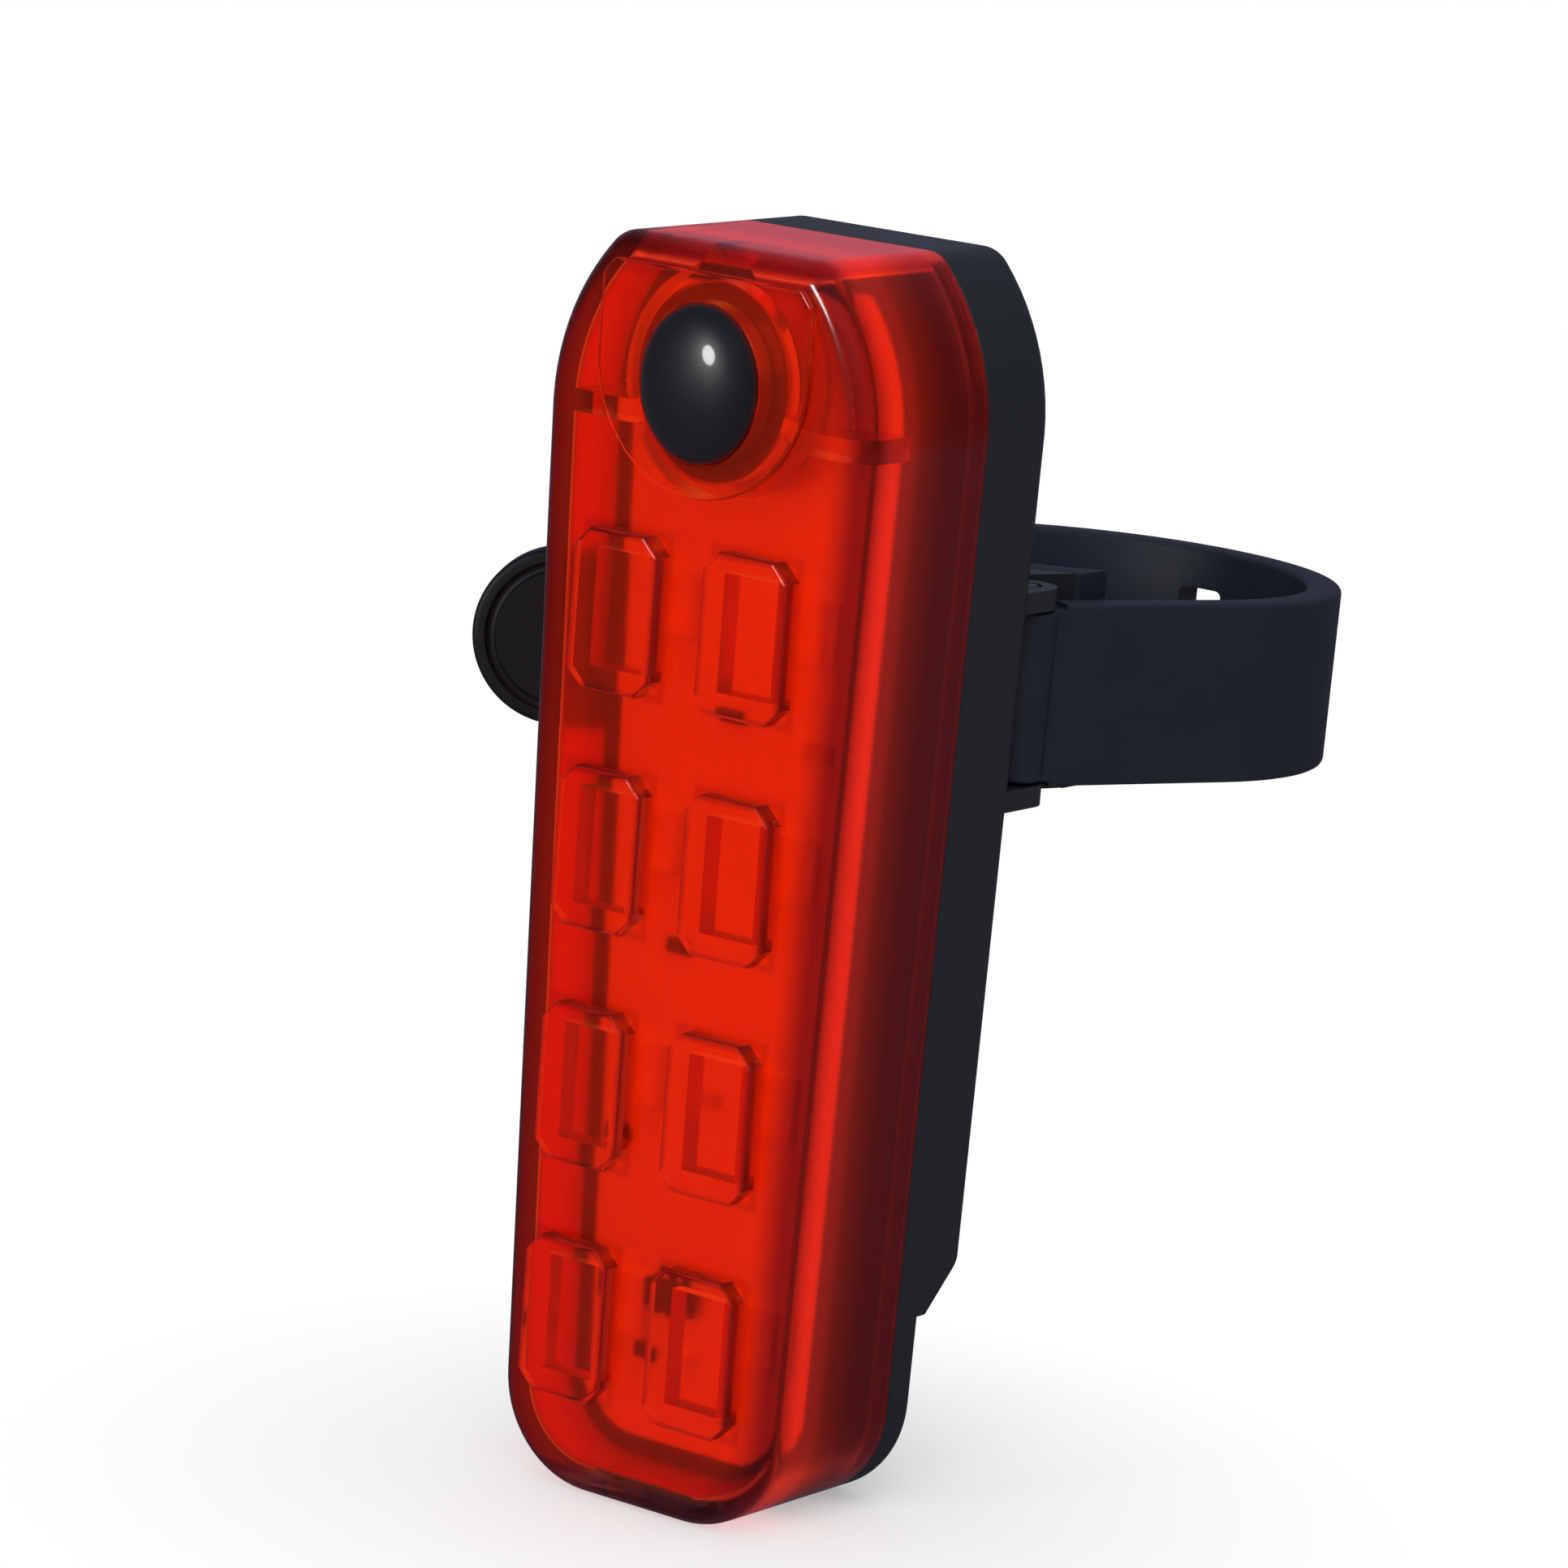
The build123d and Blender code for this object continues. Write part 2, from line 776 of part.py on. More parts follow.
def tangent_angle(x, y, side):
    """Angle on the strap's middle circle where a line from a point touches it."""
    to_point = atan2(y - post_depth, x)
    spread = acos(strap_middle_radius / hypot(x, y - post_depth))
    return to_point + side * spread


def on_circle(radius, angle):
    """A point at a radius and angle round the post's axis."""
    return (radius * cos(angle), post_depth + radius * sin(angle))


def shifted(point, direction, distance):
    """A point moved along a direction."""
    return (point[0] + direction[0] * distance, point[1] + direction[1] * distance)


def strap_arc(start, end):
    """The strap's section in plan between two angles round the post."""
    sweep_angle = degrees(end - start)
    outer = CenterArc((0, post_depth), strap_outer_radius, degrees(start), sweep_angle)
    inner = CenterArc((0, post_depth), strap_inner_radius, degrees(start), sweep_angle)
    first = Line(on_circle(strap_inner_radius, start), on_circle(strap_outer_radius, start))
    last = Line(on_circle(strap_inner_radius, end), on_circle(strap_outer_radius, end))
    return make_face([outer, inner, first, last])


def strap_run(start, end):
    """The strap's section in plan along a straight line between two points."""
    run = (end[0] - start[0], end[1] - start[1])
    length = hypot(*run)
    middle = ((start[0] + end[0]) / 2, (start[1] + end[1]) / 2)
    return Pos(*middle) * Rot(0, 0, degrees(atan2(run[1], run[0]))) * Rectangle(length, strap_thickness)


def strap_band(face):
    """Give a plan of the strap its width, with softened long edges."""
    foot = strap_height - strap_width / 2
    band = prism(face, foot, foot + strap_width)
    long_edges = band.faces().sort_by(Axis.Z)[0].edges() + band.faces().sort_by(Axis.Z)[-1].edges()
    outline_edges = [edge for edge in long_edges if edge.length > strap_thickness + strap_edge_round]
    return fillet(outline_edges, strap_edge_round)


def strap_slot(point, along):
    """The cutter for one slot of the strap."""
    return across_strap(point, along, slot_along, slot_height, slot_round, -strap_thickness, strap_thickness)


def strap_fixed_half():
    """From the eye on the pin, round the right side to the back of the loop."""
    touch = tangent_angle(pin_offset, pin_depth, 1)
    start = (pin_offset, pin_depth)
    run = strap_run(start, on_circle(strap_middle_radius, touch))
    eye = Pos(*start) * Circle(eye_radius)
    band = strap_band(run + strap_arc(touch, radians(90)))
    foot = strap_height - strap_width / 2
    root = prism(eye, foot, foot + strap_width)
    root = fillet(root.edges().filter_by(GeomType.CIRCLE), strap_edge_round / 2)
    hole = prism(Pos(*start) * Circle(pin_radius + eye_clearance), foot - cut_overrun, foot + 2 * strap_width)
    return band + root - hole


def strap_left_arc():
    """From the back of the loop round the left side, with the spare slots."""
    touch = tangent_angle(-hook_offset, hook_depth, -1) % radians(360)
    band = strap_band(strap_arc(radians(90), touch))
    slot_step = slot_pitch / strap_middle_radius
    for step in range(slot_count):
        angle = touch - (step + first_slot_share) * slot_step
        centre = on_circle(strap_middle_radius, angle)
        band -= strap_slot(centre, (-sin(angle), cos(angle)))
    return band


def bend_plan():
    """Centre of the bend towards the tab, and the angles where the bend starts and ends."""
    point, along = hook_frame()
    start = shifted(point, along, bend_lead)
    outward = (along[1], -along[0])
    start_angle = degrees(atan2(-outward[1], -outward[0]))
    return shifted(start, outward, bend_radius), start_angle, tab_angle + 90


def pull_tab():
    """The round-ended tab beyond the bend, flat side to the front, with a rim line."""
    centre, start_angle, end_angle = bend_plan()
    straight = tab_reach - tab_radius
    face = Pos((straight - tab_root) / 2, 0) * Rectangle(straight + tab_root, strap_width)
    face += Pos(straight, 0) * Circle(tab_radius)
    tab = extrude(face, strap_thickness / 2, both=True)
    ends = tab.faces().sort_by(Axis.Z)
    rims = [edge for edge in ends[0].edges() + ends[-1].edges() if edge.center().X > tab_rim]
    tab = fillet(rims, strap_edge_round)
    ring = Pos(straight, 0) * (Circle(tab_radius - tab_rim) - Circle(tab_radius - 2 * tab_rim))
    ring &= Pos(straight + tab_radius / 2, 0) * Rectangle(tab_radius, 2 * tab_radius)
    tab -= Pos(0, 0, strap_thickness / 2 - tab_rim_depth) * extrude(ring, strap_thickness)
    forward = (cos(radians(tab_angle)), sin(radians(tab_angle)))
    start = shifted(centre, (forward[1], -forward[0]), -bend_radius)
    drop = radians(tab_droop)
    place = Plane(
        origin=(start[0], start[1], strap_height),
        x_dir=(forward[0] * cos(drop), forward[1] * cos(drop), -sin(drop)),
        z_dir=(-forward[1], forward[0], 0),
    )
    return place.location * tab


def strap_end():
    """The end that hooks on: flank with its slot, bend and pull tab."""
    point, along = hook_frame()
    touch = tangent_angle(-hook_offset, hook_depth, -1)
    centre, start_angle, end_angle = bend_plan()
    run = strap_run(on_circle(strap_middle_radius, touch), shifted(point, along, bend_lead))
    turn = (end_angle - start_angle) % 360 - 360
    outer = CenterArc(centre, bend_radius + strap_thickness / 2, start_angle, turn)
    inner = CenterArc(centre, bend_radius - strap_thickness / 2, start_angle, turn)
    bend = make_face([outer, inner, Line(outer @ 0, inner @ 0), Line(outer @ 1, inner @ 1)])
    band = strap_band(run + bend)
    return band - strap_slot(shifted(point, along, slot_forward), along) + pull_tab()


def strap_pin():
    """Steel pin through the lugs and the strap's eye."""
    foot = strap_height - saddle_height / 2
    pin = prism(Pos(pin_offset, pin_depth) * Circle(pin_radius), foot, foot + saddle_height)
    return chamfer(pin.edges().filter_by(GeomType.CIRCLE), pin_chamfer)


# Cover of the charging port


def cover_parts():
    """Rubber cover: domed flange, lip, plug, and half of the tether."""
    floor = lower_body_depth - port_recess
    crest = lower_body_depth + cover_rise
    flange = slab(port_place(cover_face(0)), floor, crest)
    flange = fillet(back_edges(flange), cover_edge_round)
    half_plug = (socket_width + 2 * port_clearance) / 2 - cover_clearance
    half_plug_height = (socket_thickness + 2 * port_clearance) / 2 - cover_clearance
    plug_face = port_place(Rectangle(2 * half_plug, 2 * half_plug_height))
    plug = slab(plug_face, floor - cover_plug_depth, floor)
    lip_face = rounded_bar(lip_length, tether_half_height, tether_half_height / 2)
    lip_start = lower_body_depth + cover_clearance
    lip = slab(Pos(cover_half_width, socket_height) * lip_face, lip_start, lip_start + lip_thickness)
    return flange + plug + lip


def tether_strip(near, far):
    """A length of the tether between two offsets left of the port."""
    floor = lower_body_depth - port_recess
    middle = (near + far) / 2
    face = Pos(-middle, socket_height) * Rectangle(far - near, 2 * tether_half_height)
    return slab(face, floor, floor + tether_thickness)


def port_cover():
    """The cover with its own half of the tether."""
    return cover_parts() + tether_strip(cover_half_width - tether_half_height, tether_pivot_offset)


def cover_anchor():
    """The tether's fixed end, plugged into the housing."""
    floor = lower_body_depth - port_recess
    head_face = Pos(-tether_end_offset, socket_height) * Circle(tether_half_height)
    head = slab(head_face, floor, floor + tether_thickness)
    stem_face = Pos(-tether_end_offset, socket_height) * Circle(tether_stem_radius)
    stem = slab(stem_face, anchor_back, floor)
    bulb_face = Pos(-tether_end_offset, socket_height) * Circle(tether_bulb_radius)
    bulb = slab(bulb_face, anchor_back, lower_back_inside)
    return head + stem + bulb + tether_strip(tether_pivot_offset, tether_end_offset)


pieces = {
    "lens_cover": lens_cover,
    "button_cap": button_cap,
    "switch_body": switch_body,
    "switch_plunger": switch_plunger,
    "switch_snap_dome": switch_snap_dome,
    "circuit_board": circuit_board,
    "led_packages": led_packages,
    "board_resistors": board_resistors,
    "driver_chip": driver_chip,
    "charger_chip": charger_chip,
    "charge_indicator": charge_indicator,
    "socket_shell": socket_shell,
    "socket_tongue": socket_tongue,
    "battery_cell": battery_cell,
    "battery_tape": battery_tape,
    "guard_board": guard_board,
    "battery_lead_red": lambda: battery_lead(1),
    "battery_lead_black": lambda: battery_lead(-1),
    "rear_housing": rear_housing,
    "seal_ring": seal_ring,
    "saddle_pad": saddle_pad,
    "strap_pin": strap_pin,
    "strap_fixed_half": strap_fixed_half,
    "strap_left_arc": strap_left_arc,
    "strap_end": strap_end,
    "port_cover": port_cover,
    "cover_anchor": cover_anchor,
}

os.makedirs("parts", exist_ok=True)
to_post_axis = Pos(0, -post_depth, -strap_height)
for name, make in pieces.items():
    export_step(to_post_axis * make(), f"parts/{name}.step")
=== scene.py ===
import json
from math import acos, atan2, cos, hypot, pi, radians, sin

import bmesh
import bpy
from bpy.props import FloatProperty, FloatVectorProperty, IntProperty, PointerProperty
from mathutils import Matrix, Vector


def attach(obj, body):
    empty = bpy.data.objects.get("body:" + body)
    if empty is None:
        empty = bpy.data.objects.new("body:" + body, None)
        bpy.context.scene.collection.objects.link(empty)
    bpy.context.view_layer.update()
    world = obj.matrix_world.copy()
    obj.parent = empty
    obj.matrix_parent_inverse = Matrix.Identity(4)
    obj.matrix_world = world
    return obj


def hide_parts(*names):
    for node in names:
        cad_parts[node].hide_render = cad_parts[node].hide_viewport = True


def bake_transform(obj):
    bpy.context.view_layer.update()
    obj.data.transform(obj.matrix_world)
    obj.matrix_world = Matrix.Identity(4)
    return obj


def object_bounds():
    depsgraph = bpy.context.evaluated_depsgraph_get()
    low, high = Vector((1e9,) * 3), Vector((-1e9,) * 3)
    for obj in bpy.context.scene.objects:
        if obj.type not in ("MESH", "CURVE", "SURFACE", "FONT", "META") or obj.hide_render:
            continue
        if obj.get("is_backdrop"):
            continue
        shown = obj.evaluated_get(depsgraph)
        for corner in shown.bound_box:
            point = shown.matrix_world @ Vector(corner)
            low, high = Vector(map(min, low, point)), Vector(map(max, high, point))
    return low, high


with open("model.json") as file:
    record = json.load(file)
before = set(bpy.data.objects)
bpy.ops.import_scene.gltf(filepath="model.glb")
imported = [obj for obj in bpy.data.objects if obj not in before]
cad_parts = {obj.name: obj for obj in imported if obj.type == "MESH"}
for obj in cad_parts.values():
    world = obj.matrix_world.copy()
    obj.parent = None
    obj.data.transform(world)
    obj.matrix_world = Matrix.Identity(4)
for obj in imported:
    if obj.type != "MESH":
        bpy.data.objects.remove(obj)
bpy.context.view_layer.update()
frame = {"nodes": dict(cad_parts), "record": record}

bl_info = {
    "name": "Bicycle rear light",
    "version": (1, 0, 0),
    "blender": (4, 5, 0),
    "location": "3D View > Sidebar > Rear light",
    "description": "Dresses the packed rear light: strap, button, cover, pad, finishes and studio",
    "category": "Object",
}

MM = 0.001

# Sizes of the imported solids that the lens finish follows, in millimetres

BODY_TOP = 24.7
BODY_FOOT = -45.3
LENS_FACE = -37.0
SHOULDER_HEIGHT = 15.0
SHOULDER_HALF_WIDTH = 11.0
SHOULDER_RADIUS = 13.5
FOOT_HALF_WIDTH = 9.32
FOOT_RADIUS = 6.0
WINDOW_OFFSET = 4.39
WINDOW_HALF_WIDTH = 2.88
WINDOW_HALF_HEIGHT = 4.43
WINDOW_PITCH = 13.17
WINDOW_RIM = 0.32
TOP_WINDOW = 4.3
WINDOWS_END = 11.0


# Sizes and colours that a user would change


def millimetres(name, description, default):
    """A length in millimetres."""
    return FloatProperty(name=name, description=description, default=default)


def degrees(name, description, default):
    """An angle, given in degrees."""
    return FloatProperty(
        name=name, description=description, subtype="ANGLE", default=radians(default)
    )


def tint(name, description, default):
    """A colour, as linear values."""
    return FloatVectorProperty(
        name=name, description=description, subtype="COLOR", default=default
    )


class RearLightSizes(bpy.types.PropertyGroup):
    """Sizes of the dressed pieces, in millimetres, in the frame of the seat post."""

    post_radius: millimetres("Post radius", "Radius of the seat post", 12.7)
    strap_thickness: millimetres("Strap thickness", "Thickness of the band", 2.03)
    strap_width: millimetres("Strap width", "Width of the band", 10.2)
    strap_round: millimetres("Strap edge", "Rounding of the band's edges", 0.35)
    strap_sag: degrees("Strap sag", "Fall of the free loop", 2.2)
    eye_height: millimetres("Eye height", "Height of the band's eye", 9.5)
    eye_room: millimetres("Eye room", "Radius round the pin where the band is narrow", 2.3)
    pin_x: millimetres("Pin offset", "Place of the pin across the light", 8.6)
    pin_y: millimetres("Pin depth", "Place of the pin along the depth", -18.0)
    eye_radius: millimetres("Eye radius", "Outside of the band's eye", 1.78)
    eye_bore: millimetres("Eye bore", "Inside of the band's eye", 0.88)
    hook_x: millimetres("Hook offset", "Place of the hook across the light", -9.0)
    hook_y: millimetres("Hook depth", "Place of the hook along the depth", -14.1)
    slot_length: millimetres("Slot length", "Length of a slot along the band", 2.9)
    slot_height: millimetres("Slot height", "Height of a spare slot", 5.4)
    slot_corner: millimetres("Slot corner", "Corner radius of a slot", 0.4)
    hook_slot_height: millimetres("Hook slot height", "Height of the slot on the hook", 2.8)
    first_slot: degrees("First slot", "Place of the first spare slot", 166.0)
    slot_forward: millimetres("Slot shift", "Hook slot ahead of the hook", 0.6)
    slot_pitch: millimetres("Slot pitch", "Distance between spare slots", 8.9)
    bend_lead: millimetres("Bend lead", "Straight run past the hook", 1.8)
    bend_radius: millimetres("Bend radius", "Middle radius of the tab's bend", 1.65)
    tab_angle: degrees("Tab angle", "Heading of the tab in plan", 212.0)
    tab_droop: degrees("Tab droop", "Fall of the tab", 5.0)
    tab_reach: millimetres("Tab reach", "Length of the tab past the bend", 16.85)
    tab_radius: millimetres("Tab radius", "Radius of the tab's round end", 5.08)
    rim_inset: millimetres("Rim inset", "Groove inside the rim of the tab", 1.05)
    rim_radius: millimetres("Rim groove", "Radius of the groove inside the rim", 0.34)
    button_z: millimetres("Button height", "Middle of the button", 17.3)
    button_width: millimetres("Button half width", "Half width of the dome", 3.9)
    button_height: millimetres("Button half height", "Half height of the dome", 4.35)
    button_rise: millimetres("Button rise", "Rise of the dome", 1.49)
    button_proud: millimetres("Button stand", "Rim of the dome ahead of the lens", 0.5)
    skirt_depth: millimetres("Skirt depth", "Depth of the button's skirt", 2.15)
    flange_reach: millimetres("Flange reach", "Flange past the skirt", 1.0)
    flange_depth: millimetres("Flange depth", "Thickness of the flange", 0.75)
    stem_inset: millimetres("Stem inset", "Stem in from the flange's rim", 3.1)
    stem_length: millimetres("Stem length", "Length of the button's stem", 0.84)
    cover_z: millimetres("Port height", "Middle of the charging port", -40.3)
    cover_floor: millimetres("Cover floor", "Depth of the cover's seat", -23.9)
    cover_crest: millimetres("Cover crest", "Depth of the cover's crest", -22.55)
    cover_width: millimetres("Cover half width", "Half width of the cover", 5.2)
    cover_height: millimetres("Cover half height", "Half height of the cover", 2.15)
    cover_corner: millimetres("Cover corner", "Corner radius of the cover", 2.05)
    cover_round: millimetres("Cover edge", "Rounding of the cover's edge", 0.75)
    plug_width: millimetres("Plug width", "Width of the cover's plug", 7.96)
    plug_height: millimetres("Plug height", "Height of the cover's plug", 3.06)
    plug_depth: millimetres("Plug depth", "Depth of the cover's plug", 0.8)
    lip_length: millimetres("Lip length", "Length and height of the cover's lip", 2.6)
    tether_width: millimetres("Tether width", "Width of the tether", 2.6)
    tether_thickness: millimetres("Tether thickness", "Thickness of the tether", 0.9)
    anchor_offset: millimetres("Anchor offset", "Anchor left of the port", 6.9)
    anchor_radius: millimetres("Anchor radius", "Radius of the anchor's head", 1.3)
    pad_height: millimetres("Pad height", "Height of the saddle pad", 12.2)
    pad_width: millimetres("Pad half width", "Half width of the saddle pad", 8.2)
    pad_thickness: millimetres("Pad thickness", "Thickness of the pad", 2.0)
    groove_depth: millimetres("Groove depth", "Depth of the pad's grooves", 0.5)
    groove_width: millimetres("Groove width", "Width of the pad's grooves", 0.9)
    pad_grooves: IntProperty(
        name="Pad grooves", description="Grooves across the pad", default=5
    )


class RearLightColours(bpy.types.PropertyGroup):
    """Colours of the finishes, as linear values."""

    lens: tint("Lens", "Clear red", (0.84, 0.04, 0.001))
    # Colour that the lens's rims are darkened to, as painted shade
    lens_rim_shade: tint("Lens rim", "Deep red of the rims", (0.12, 0.005, 0.014))
    housing: tint("Housing", "Black plastic", (0.016, 0.019, 0.024))
    strap: tint("Strap", "Black rubber", (0.013, 0.016, 0.028))
    button: tint("Button", "Black rubber", (0.006, 0.008, 0.011))
    board: tint("Board", "White board", (0.86, 0.85, 0.82))


# Shader sums written as expressions


class Sock:
    """Wraps a socket so that sums on it add Math nodes."""

    def __init__(self, graph, socket):
        self.graph = graph
        self.socket = socket

    def math(self, operation, *others):
        made = self.graph.node("ShaderNodeMath", {"operation": operation}, (self, *others))
        return Sock(self.graph, made)

    def __add__(self, other):
        return self.math("ADD", other)

    def __sub__(self, other):
        return self.math("SUBTRACT", other)

    def __mul__(self, other):
        return self.math("MULTIPLY", other)

    def __truediv__(self, other):
        return self.math("DIVIDE", other)

    def __radd__(self, other):
        return self + other

    def __rmul__(self, other):
        return self * other

    def __rsub__(self, other):
        return (self * -1.0) + other

    def __rtruediv__(self, other):
        made = self.graph.node("ShaderNodeMath", {"operation": "DIVIDE"}, (other, self))
        return Sock(self.graph, made)

    def __abs__(self):
        return self.math("ABSOLUTE")

    def over(self, level):
        """One above a level and nought below it."""
        return self.math("GREATER_THAN", level)

    def under(self, level):
        """One below a level and nought above it."""
        return self.math("LESS_THAN", level)

    def least(self, other):
        return self.math("MINIMUM", other)

    def most(self, other):
        return self.math("MAXIMUM", other)

    def clamp(self):
        return Sock(self.graph, self.graph.node("ShaderNodeClamp", {}, (self,)))


class Graph:
    """A node tree to which nodes are added one by one."""

    def __init__(self, tree):
        self.nodes = tree.nodes
        self.links = tree.links

    def feed(self, socket, value):
        """Link a socket to another, or set its value."""
        if isinstance(value, Sock):
            value = value.socket
        if isinstance(value, bpy.types.NodeSocket):
            self.links.new(value, socket)
        else:
            socket.default_value = value

    def node(self, kind, settings, inputs, out=0):
        """Add a node from its settings and its inputs, by name or in order."""
        made = self.nodes.new(kind)
        for key, value in settings.items():
            setattr(made, key, value)
        pairs = inputs.items() if isinstance(inputs, dict) else enumerate(inputs)
        for key, value in pairs:
            self.feed(made.inputs[key], value)
        return made.outputs[out]

    def place(self):
        """The piece's own coordinates."""
        return self.node("ShaderNodeTexCoord", {}, (), "Object")

    def place_parts(self, unit=MM):
        """The three parts of the piece's own coordinates, in millimetres or another unit."""
        split = self.node("ShaderNodeSeparateXYZ", {}, (self.place(),)).node
        return [Sock(self, part) / unit for part in split.outputs]

    def shown(self):
        """One where a surface is seen straight, mirrored, or looked through."""
        ray = self.node("ShaderNodeLightPath", {}, ()).node.outputs
        straight, mirrored, through = (
            Sock(self, ray[f"Is {kind} Ray"]) for kind in ("Camera", "Glossy", "Transmission")
        )
        return (straight + mirrored + through).clamp()


class Finish(Graph):
    """A material under construction: its nodes, and its Principled shader."""

    def __init__(self, name):
        self.material = bpy.data.materials.new(name)
        self.material.use_nodes = True
        super().__init__(self.material.node_tree)
        self.shader = self.nodes["Principled BSDF"]

    def noise(self, scale, detail=3.0, stretch=(1.0, 1.0, 1.0)):
        """Noise on the piece's own coordinates."""
        moved = self.node("ShaderNodeMapping", {}, {"Vector": self.place(), "Scale": stretch})
        inputs = {"Vector": moved, "Scale": scale, "Detail": detail}
        return Sock(self, self.node("ShaderNodeTexNoise", {}, inputs))

    def mix(self, factor, one, two):
        """A colour between two, which may be plain or sockets."""
        one, two = ((*part, 1.0) if isinstance(part, tuple) else part for part in (one, two))
        inputs = {0: factor, 6: one, 7: two}
        return self.node("ShaderNodeMix", {"data_type": "RGBA"}, inputs, out=2)

    def set(self, **values):
        """Feed the shader's own inputs."""
        for key, value in values.items():
            self.feed(self.shader.inputs[key.replace("_", " ")], value)

    def bump(self, height, strength, distance):
        """Feed the shader's normal from a height."""
        inputs = {"Height": height, "Strength": strength, "Distance": distance}
        self.set(Normal=self.node("ShaderNodeBump", {}, inputs))


def shade(colour, share):
    """A colour made lighter or darker."""
    return tuple(min(1.0, part * share) for part in colour)


def length(one, two):
    """Length of a slope from its two legs."""
    return (one * one + two * two).math("SQRT")


# Finishes


def moulded(name, colour, roughness, grain, depth):
    """Moulded plastic or rubber: fine eroded grain, and slow changes of tone and gloss."""
    finish = Finish(name)
    slow = finish.noise(160.0, 2.0)
    fine = finish.noise(grain, 2.0)
    tone = ((slow - 0.5) * 0.25 + 0.5).clamp()
    finish.set(
        Base_Color=finish.mix(tone, shade(colour, 0.75), shade(colour, 1.3)),
        Roughness=(roughness + (slow - 0.5) * 0.16 + (fine - 0.5) * 0.08).clamp(),
    )
    finish.bump(fine, 0.35, depth)
    return finish.material


def rim_distance(across, up):
    """Millimetres in from the body's outline."""
    beside = abs(across)
    flare = (SHOULDER_HALF_WIDTH - FOOT_HALF_WIDTH) / (SHOULDER_HEIGHT - BODY_FOOT)
    half_width = (up - BODY_FOOT) * flare + FOOT_HALF_WIDTH
    above = (up - SHOULDER_HEIGHT).most(0.0)
    shoulder_middle = SHOULDER_HALF_WIDTH - SHOULDER_RADIUS
    shoulder = SHOULDER_RADIUS - length(beside - shoulder_middle, above)
    below = (BODY_FOOT + FOOT_RADIUS - up).most(0.0)
    foot = FOOT_RADIUS - length((beside - half_width + FOOT_RADIUS).most(0.0), below)
    return shoulder.least(foot).least(BODY_TOP - up)


def window_rims(across, deep, up):
    """How near a point of the raised windows is to a window's outline."""
    beside = abs(abs(across) - WINDOW_OFFSET) - WINDOW_HALF_WIDTH
    row = (up - TOP_WINDOW) / WINDOW_PITCH
    above = abs(row - row.math("ROUND")) * WINDOW_PITCH - WINDOW_HALF_HEIGHT
    off = abs(beside.most(above))
    raised = (LENS_FACE + 0.5 - deep).clamp() * (WINDOWS_END - up).clamp()
    return (1.3 - off / WINDOW_RIM).clamp() * raised


def clear_red(colours):
    """Clear red moulding with a painted glow on its outer skin at the sides and top, and painted
    shade deepening its rims, seam and window outlines.
    """
    finish = Finish("clear_red_plastic")
    slow = finish.noise(70.0, 2.0)
    flow = finish.noise(45.0, 3.0, (1.0, 1.0, 0.35))
    across, deep, up = finish.place_parts()
    inwards = rim_distance(across, up)
    backwards = deep - LENS_FACE
    # Painted shade: the rims, the seam at the back and the window outlines darken toward the rim
    # colour
    near_rim = (1.3 - inwards * 0.55).clamp() * (1.5 - backwards * 0.6).clamp()
    near_seam = (backwards * 0.5 - 2.6).clamp() * (inwards * -2.0 + 1.2).clamp()
    painted_rim_shade = near_rim * 0.95 + near_seam * 0.7 + window_rims(across, deep, up) * 0.75
    # Painted glow: the outer skin at the sides and along the top glows faintly, light painted in
    # as emission
    skin = (inwards * -3.0 + 1.2).clamp()
    below_top = (BODY_TOP + 1.0 - up).clamp()
    side = (backwards - 1.2).clamp() * (5.0 - backwards).clamp() * below_top
    crown = (up * 2.0 - 48.4).clamp() * (backwards * 0.6 - 1.5).clamp()
    painted_glow = (skin * (side * 0.35 + crown)).clamp()
    lens, rim = tuple(colours.lens), tuple(colours.lens_rim_shade)
    tone = finish.mix(slow, shade(lens, 0.9), shade(lens, 1.04))
    finish.set(
        Base_Color=finish.mix(painted_rim_shade.clamp(), tone, rim),
        Roughness=(0.13 + (slow - 0.5) * 0.06).clamp(),
        IOR=1.5,
        Transmission_Weight=0.92,
        Emission_Color=finish.mix(painted_glow, (0.0, 0.0, 0.0), (1.0, 0.035, 0.03)),
        Emission_Strength=0.25,
    )
    finish.bump(flow, 0.25, 0.00006)
    return finish.material


def white_board(colours):
    """White solder mask with faint tracks beneath it."""
    finish = Finish("white_solder_mask")
    board = tuple(colours.board)
    bricks = {"Vector": finish.place(), "Scale": 420.0, "Mortar Size": 0.03}
    track = Sock(finish, finish.node("ShaderNodeTexBrick", {"offset": 0.5}, bricks, out=1))
    soft = finish.noise(260.0)
    worn = (soft * 0.6 + track * 0.3).clamp()
    finish.set(
        Base_Color=finish.mix(worn, board, shade(board, 0.86)),
        Roughness=(0.32 + (soft - 0.5) * 0.2).clamp(),
    )
    finish.bump(track, 0.2, 0.00003)
    return finish.material


def emitter():
    """Milky resin of a light emitter."""
    resin = (0.9, 0.88, 0.84)
    finish = Finish("emitter_resin")
    soft = finish.noise(900.0)
    finish.set(
        Base_Color=finish.mix(soft, shade(resin, 0.85), shade(resin, 1.05)),
        Roughness=(0.25 + (soft - 0.5) * 0.2).clamp(),
    )
    finish.bump(soft, 0.2, 0.00002)
    return finish.material


def metal(name, colour, roughness, stretch):
    """Drawn or rolled metal with fine lines along it."""
    finish = Finish(name)
    lines = finish.noise(2400.0, 2.0, stretch)
    finish.set(
        Base_Color=finish.mix(lines, shade(colour, 0.85), shade(colour, 1.08)),
        Metallic=1.0,
        Roughness=(roughness + (lines - 0.5) * 0.2).clamp(),
    )
    finish.bump(lines, 0.15, 0.00001)
    return finish.material


